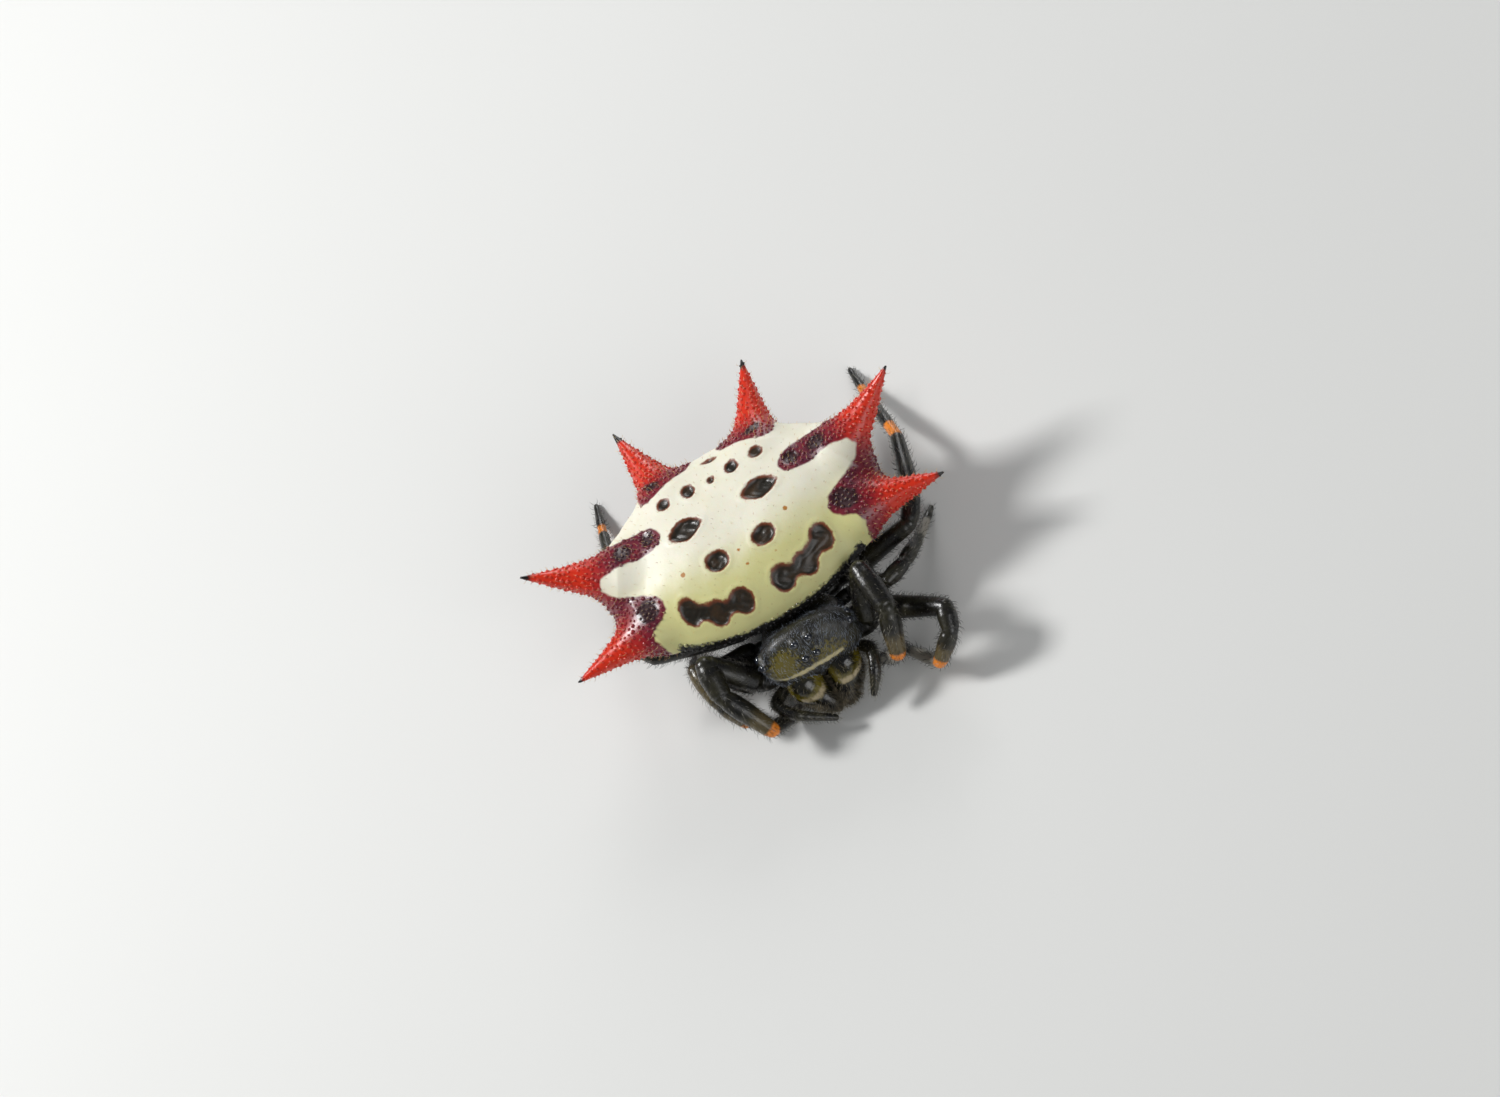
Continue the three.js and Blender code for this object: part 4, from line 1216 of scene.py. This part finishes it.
class WEAVER_OT_eyes(Maker, bpy.types.Operator):
    """Makes the eight eyes, let into their mounds"""
    bl_idname = "weaver.eyes"
    bl_label = "Eyes"

    def execute(self, context):
        material = eye_material()
        for name, centre, radius in eye_places(0.035):
            points, faces = skin(partial(ball_field, centre, radius), centre - radius,
                                 centre + radius, 0.02)
            make_piece(f"{name}_lens", "eye_lens", points, faces, material, (name,))
        return {"FINISHED"}


def jaw_marks(side, points):
    """Distances to the pale band, a painted highlight, and to the olive part, a painted
    reflection, round the black cap of a chelicera.
    """
    aside, forward, up = JAW_CENTRE
    offset = points - spot(JAW_MIDDLE_LEFT + side * aside, forward, up)
    run, onward, rise = JAW_CAP
    cap = unit(offset) @ unit(np.array((side * run, -onward, rise)))
    olive_reflection = np.maximum((cap - JAW_CAP_EDGE) * JAW_RADIUS, -0.03 - offset[:, 2])
    # the pale band: a painted highlight along the lower edge
    band = np.abs(offset[:, 2] - 0.02) - JAW_HIGHLIGHT_HALF_WIDTH
    band = np.maximum(band, np.abs(offset[:, 0] - JAW_HIGHLIGHT_MIDDLE) - JAW_HIGHLIGHT_REACH)
    return {"pale_edge": np.maximum(band, 0.25 + offset[:, 1]), "olive_edge": olive_reflection}


class WEAVER_OT_mouthparts(Maker, bpy.types.Operator):
    """Makes the chelicerae, fangs and maxillae"""
    bl_idname = "weaver.mouthparts"
    bl_label = "Mouthparts"

    def execute(self, context):
        looks = context.scene.weaver_colours
        # olive round the cap is a painted reflection, the pale band a painted highlight
        black = cuticle_material("Chelicera cuticle", looks.black, looks.olive_reflection, 0.1, 0.2,
                                 (("olive_edge", looks.gold_olive_reflection, 0.1, 0.3, 8.0),
                                  ("pale_edge", looks.jaw_highlight_band, 0.05, 0.14, 7.0)))
        hair = hair_material("Mouth hairs")
        kinds = (("chelicera", CHELICERA, JAW_MIDDLE_LEFT, black, "black_cuticle"),
                 ("fang", FANG, JAW_MIDDLE_LEFT, brown_cuticle(), "brown_cuticle"),
                 ("maxilla", MAXILLA, PROSOMA_LEFT, brown_cuticle(), "brown_cuticle"))
        for kind, (path, radii), middle, material, slot in kinds:
            for column, (side, word) in enumerate(SIDES):
                name = f"{kind}_{word}"
                places = [spot(middle + side * a, f, u) for a, f, u in path]
                marks = partial(jaw_marks, side) if kind == "chelicera" else None
                points, normals = add_limb(name, slot, places, radii, 14, material, marks)
                if kind != "fang":
                    weight = np.where(points[:, 2] < JAW_TUFT_TOP, 0.95, 0.03)
                    chosen = scatter(points, 0.034, 31 + side, weight)
                    make_bristles(f"{name}_hairs", points[chosen], normals[chosen],
                                  np.array((0, -0.3, -1)),
                                  limb_patch(places, points[chosen], column, len(SIDES)), hair)
        return {"FINISHED"}


class WEAVER_OT_palps(Maker, bpy.types.Operator):
    """Makes the two palps"""
    bl_idname = "weaver.palps"
    bl_label = "Palps"

    def execute(self, context):
        looks = context.scene.weaver_colours
        material = cuticle_material("Palp cuticle", looks.black, looks.olive_reflection, 0.3, 0.4)
        hair = hair_material("Palp hairs")
        for column, (name, path) in enumerate(PALPS.items()):
            places = [spot(*place) for place in path]
            points, normals = add_limb(name, "leg_cuticle", places, PALP_RADII, 18, material)
            part, _ = limb_places(places, points)
            chosen = scatter(points, 0.075, 41 + column, 0.3 + 0.2 * part)
            make_bristles(f"{name}_hairs", points[chosen], normals[chosen],
                          unit(np.diff(places, axis=0))[part[chosen]],
                          limb_patch(places, points[chosen], column, len(PALPS)), hair)
        return {"FINISHED"}


def leg_marks(name, path, part, along):
    """Distances along a leg to its orange rings and paler stretches."""
    lengths = np.linalg.norm(np.diff(path, axis=0), axis=1)
    starts = np.concatenate(((0,), np.cumsum(lengths)))
    travel = starts[part] + along * lengths[part]
    edges = {key: np.full(len(part), FAR) for key in ("ring_edge", "pale_edge", "tan_edge")}
    for index, key, near, far in LEG_MARKS[name]:
        low, high = (starts[index] + share * lengths[index] for share in (near, far))
        if key == "ring_edge":
            away = np.abs(travel - low) - far
        else:
            away = np.maximum(low - travel, travel - high)
        edges[key] = np.minimum(edges[key], away)
    return edges


class WEAVER_OT_legs(Maker, bpy.types.Operator):
    """Makes the eight legs with their orange rings"""
    bl_idname = "weaver.legs"
    bl_label = "Legs"

    def execute(self, context):
        looks = context.scene.weaver_colours
        material = cuticle_material("Leg cuticle", looks.black, looks.olive_reflection, 0.31, 0.35,
                                    (("tan_edge", looks.tan, 0.2, 0.35, 6.0),
                                     ("pale_edge", looks.grey, 0.1, 0.25, 7.0),
                                     ("ring_edge", looks.orange, 0.06, 0.16, 6.0)), 0.16)
        coats = []
        for column, name in enumerate(LEGS):
            path = leg_path(name)
            field = partial(leg_field, name, path)
            low, high = np.min(path, axis=0) - 0.45, np.max(path, axis=0) + 0.45
            low[2] = -0.05
            points, faces = skin(field, low, high, context.scene.weaver_sizes.body_cell)
            points[:, 2] = np.maximum(points[:, 2], 0)
            part, along = limb_places(path, points)
            make_piece(f"{name}_skin", "leg_cuticle", points, faces, material, (name,),
                       leg_marks(name, path, part, along))
            chosen = scatter(points, 0.1, 51 + column, np.where(part > 0, 0.75, 0.1))
            roots, part = points[chosen], part[chosen]
            coats.append((roots, normals_of(field, roots), unit(np.diff(path, axis=0))[part],
                          limb_patch(path, roots, column, len(LEGS)), part))
        *coat, part = (np.concatenate(values) for values in zip(*coats))
        grey = np.random.default_rng(61).random(len(part)) < np.where(part >= 3, 0.4, 0.2)
        for tone, chosen in (("grey", grey), ("dark", ~grey)):
            make_bristles(f"leg_{tone}_hairs", *(values[chosen] for values in coat),
                          hair_material(f"{tone.capitalize()} leg hairs"))
        return {"FINISHED"}


class WEAVER_OT_stage(Maker, bpy.types.Operator):
    """Sets the floor, the lights and the camera"""
    bl_idname = "weaver.stage"
    bl_label = "Stage"

    def execute(self, context):
        stage = context.scene.weaver_stage
        self.add_floor()
        for name, place, size, setting, share in LIGHTS:
            data = bpy.data.lights.new(name, "AREA")
            data.energy = getattr(stage, setting) * share
            data.size = size * MM
            light = bpy.data.objects.new(name, data)
            light.location = Vector(place) * MM
            aim = Vector((0, 0, 2)) * MM - light.location
            light.rotation_euler = aim.to_track_quat("-Z", "Y").to_euler()
            context.collection.objects.link(light)
        world = bpy.data.worlds.new("Studio")
        context.scene.world = world
        world.use_nodes = True
        background = world.node_tree.nodes["Background"]
        background.inputs["Color"].default_value = SKY_COLOUR
        background.inputs["Strength"].default_value = SKY_STRENGTH
        context.scene.view_settings.view_transform = "Standard"
        self.add_camera(context, stage)
        return {"FINISHED"}

    def add_floor(self):
        material, tree, shader = new_material("Pale floor", Roughness=0.65)
        grain = add_node(tree, "ShaderNodeTexNoise", {"Scale": 40.0, "Detail": 2.0})
        colour = mix_colour(tree, grain.outputs["Fac"], (0.7, 0.7, 0.68), (0.74, 0.74, 0.72))
        set_inputs(tree, shader, {"Base Color": colour})
        corners = [(x * FLOOR_HALF_WIDTH, y * FLOOR_HALF_WIDTH, 0)
                   for x, y in ((-1, -1), (1, -1), (1, 1), (-1, 1))]
        mesh_object("floor", corners, [(0, 1, 2, 3)], material)

    def add_camera(self, context, stage):
        """A long lens that looks along the photo's line of sight."""
        rise, turn, roll = (math.radians(angle)
                            for angle in (stage.elevation, stage.azimuth, stage.roll))
        back = Vector((math.sin(turn) * math.cos(rise), -math.cos(turn) * math.cos(rise),
                       math.sin(rise)))
        level = Vector((1, 0, 0)) - back.x * back
        level.normalize()
        forwards = level.cross(back)
        if forwards.y > 0:
            forwards.negate()
        right = math.cos(roll) * level + math.sin(roll) * forwards
        down = math.cos(roll) * forwards - math.sin(roll) * level
        aside, under = ((VIEW_TARGET_PIXEL[i] - IMAGE_SIZE[i] / 2) / VIEW_PIXELS_PER_MM
                        for i in (0, 1))
        place = Vector(spot(*VIEW_TARGET)) + back * VIEW_DISTANCE - aside * right - under * down
        data = bpy.data.cameras.new("camera")
        data.sensor_width = SENSOR_MM
        data.lens = VIEW_DISTANCE * VIEW_PIXELS_PER_MM / IMAGE_SIZE[0] * SENSOR_MM
        data.clip_start = 0.01
        data.clip_end = 10
        camera = bpy.data.objects.new("camera", data)
        turned = Matrix((right, -down, back)).transposed().to_4x4()
        camera.matrix_world = Matrix.Translation(place * MM) @ turned
        context.collection.objects.link(camera)
        context.scene.camera = camera


class WEAVER_PT_panel(bpy.types.Panel):
    bl_idname = "WEAVER_PT_panel"
    bl_label = "Orb weaver"
    bl_space_type = "VIEW_3D"
    bl_region_type = "UI"
    bl_category = "Orb weaver"

    def draw(self, context):
        for operator in OPERATORS:
            self.layout.operator(operator.bl_idname)
        for key in GROUPS:
            group = getattr(context.scene, key)
            box = self.layout.box()
            for setting in group.__annotations__:
                box.prop(group, setting)


OPERATORS = (WEAVER_OT_stage, WEAVER_OT_abdomen, WEAVER_OT_spinnerets, WEAVER_OT_prosoma,
             WEAVER_OT_eyes, WEAVER_OT_mouthparts, WEAVER_OT_palps, WEAVER_OT_legs)
GROUPS = {"weaver_colours": WeaverColours, "weaver_sizes": WeaverSizes,
          "weaver_stage": WeaverStage}


def register():
    for key, group in GROUPS.items():
        bpy.utils.register_class(group)
        setattr(bpy.types.Scene, key, bpy.props.PointerProperty(type=group))
    for kind in (*OPERATORS, WEAVER_PT_panel):
        bpy.utils.register_class(kind)


def unregister():
    for kind in (WEAVER_PT_panel, *reversed(OPERATORS)):
        bpy.utils.unregister_class(kind)
    for key, group in GROUPS.items():
        delattr(bpy.types.Scene, key)
        bpy.utils.unregister_class(group)


def main():
    register()
    bpy.ops.weaver.stage()
    bpy.ops.weaver.abdomen()
    bpy.ops.weaver.spinnerets()
    bpy.ops.weaver.prosoma()
    bpy.ops.weaver.eyes()
    bpy.ops.weaver.mouthparts()
    bpy.ops.weaver.palps()
    bpy.ops.weaver.legs()


if __name__ == "__main__":
    main()
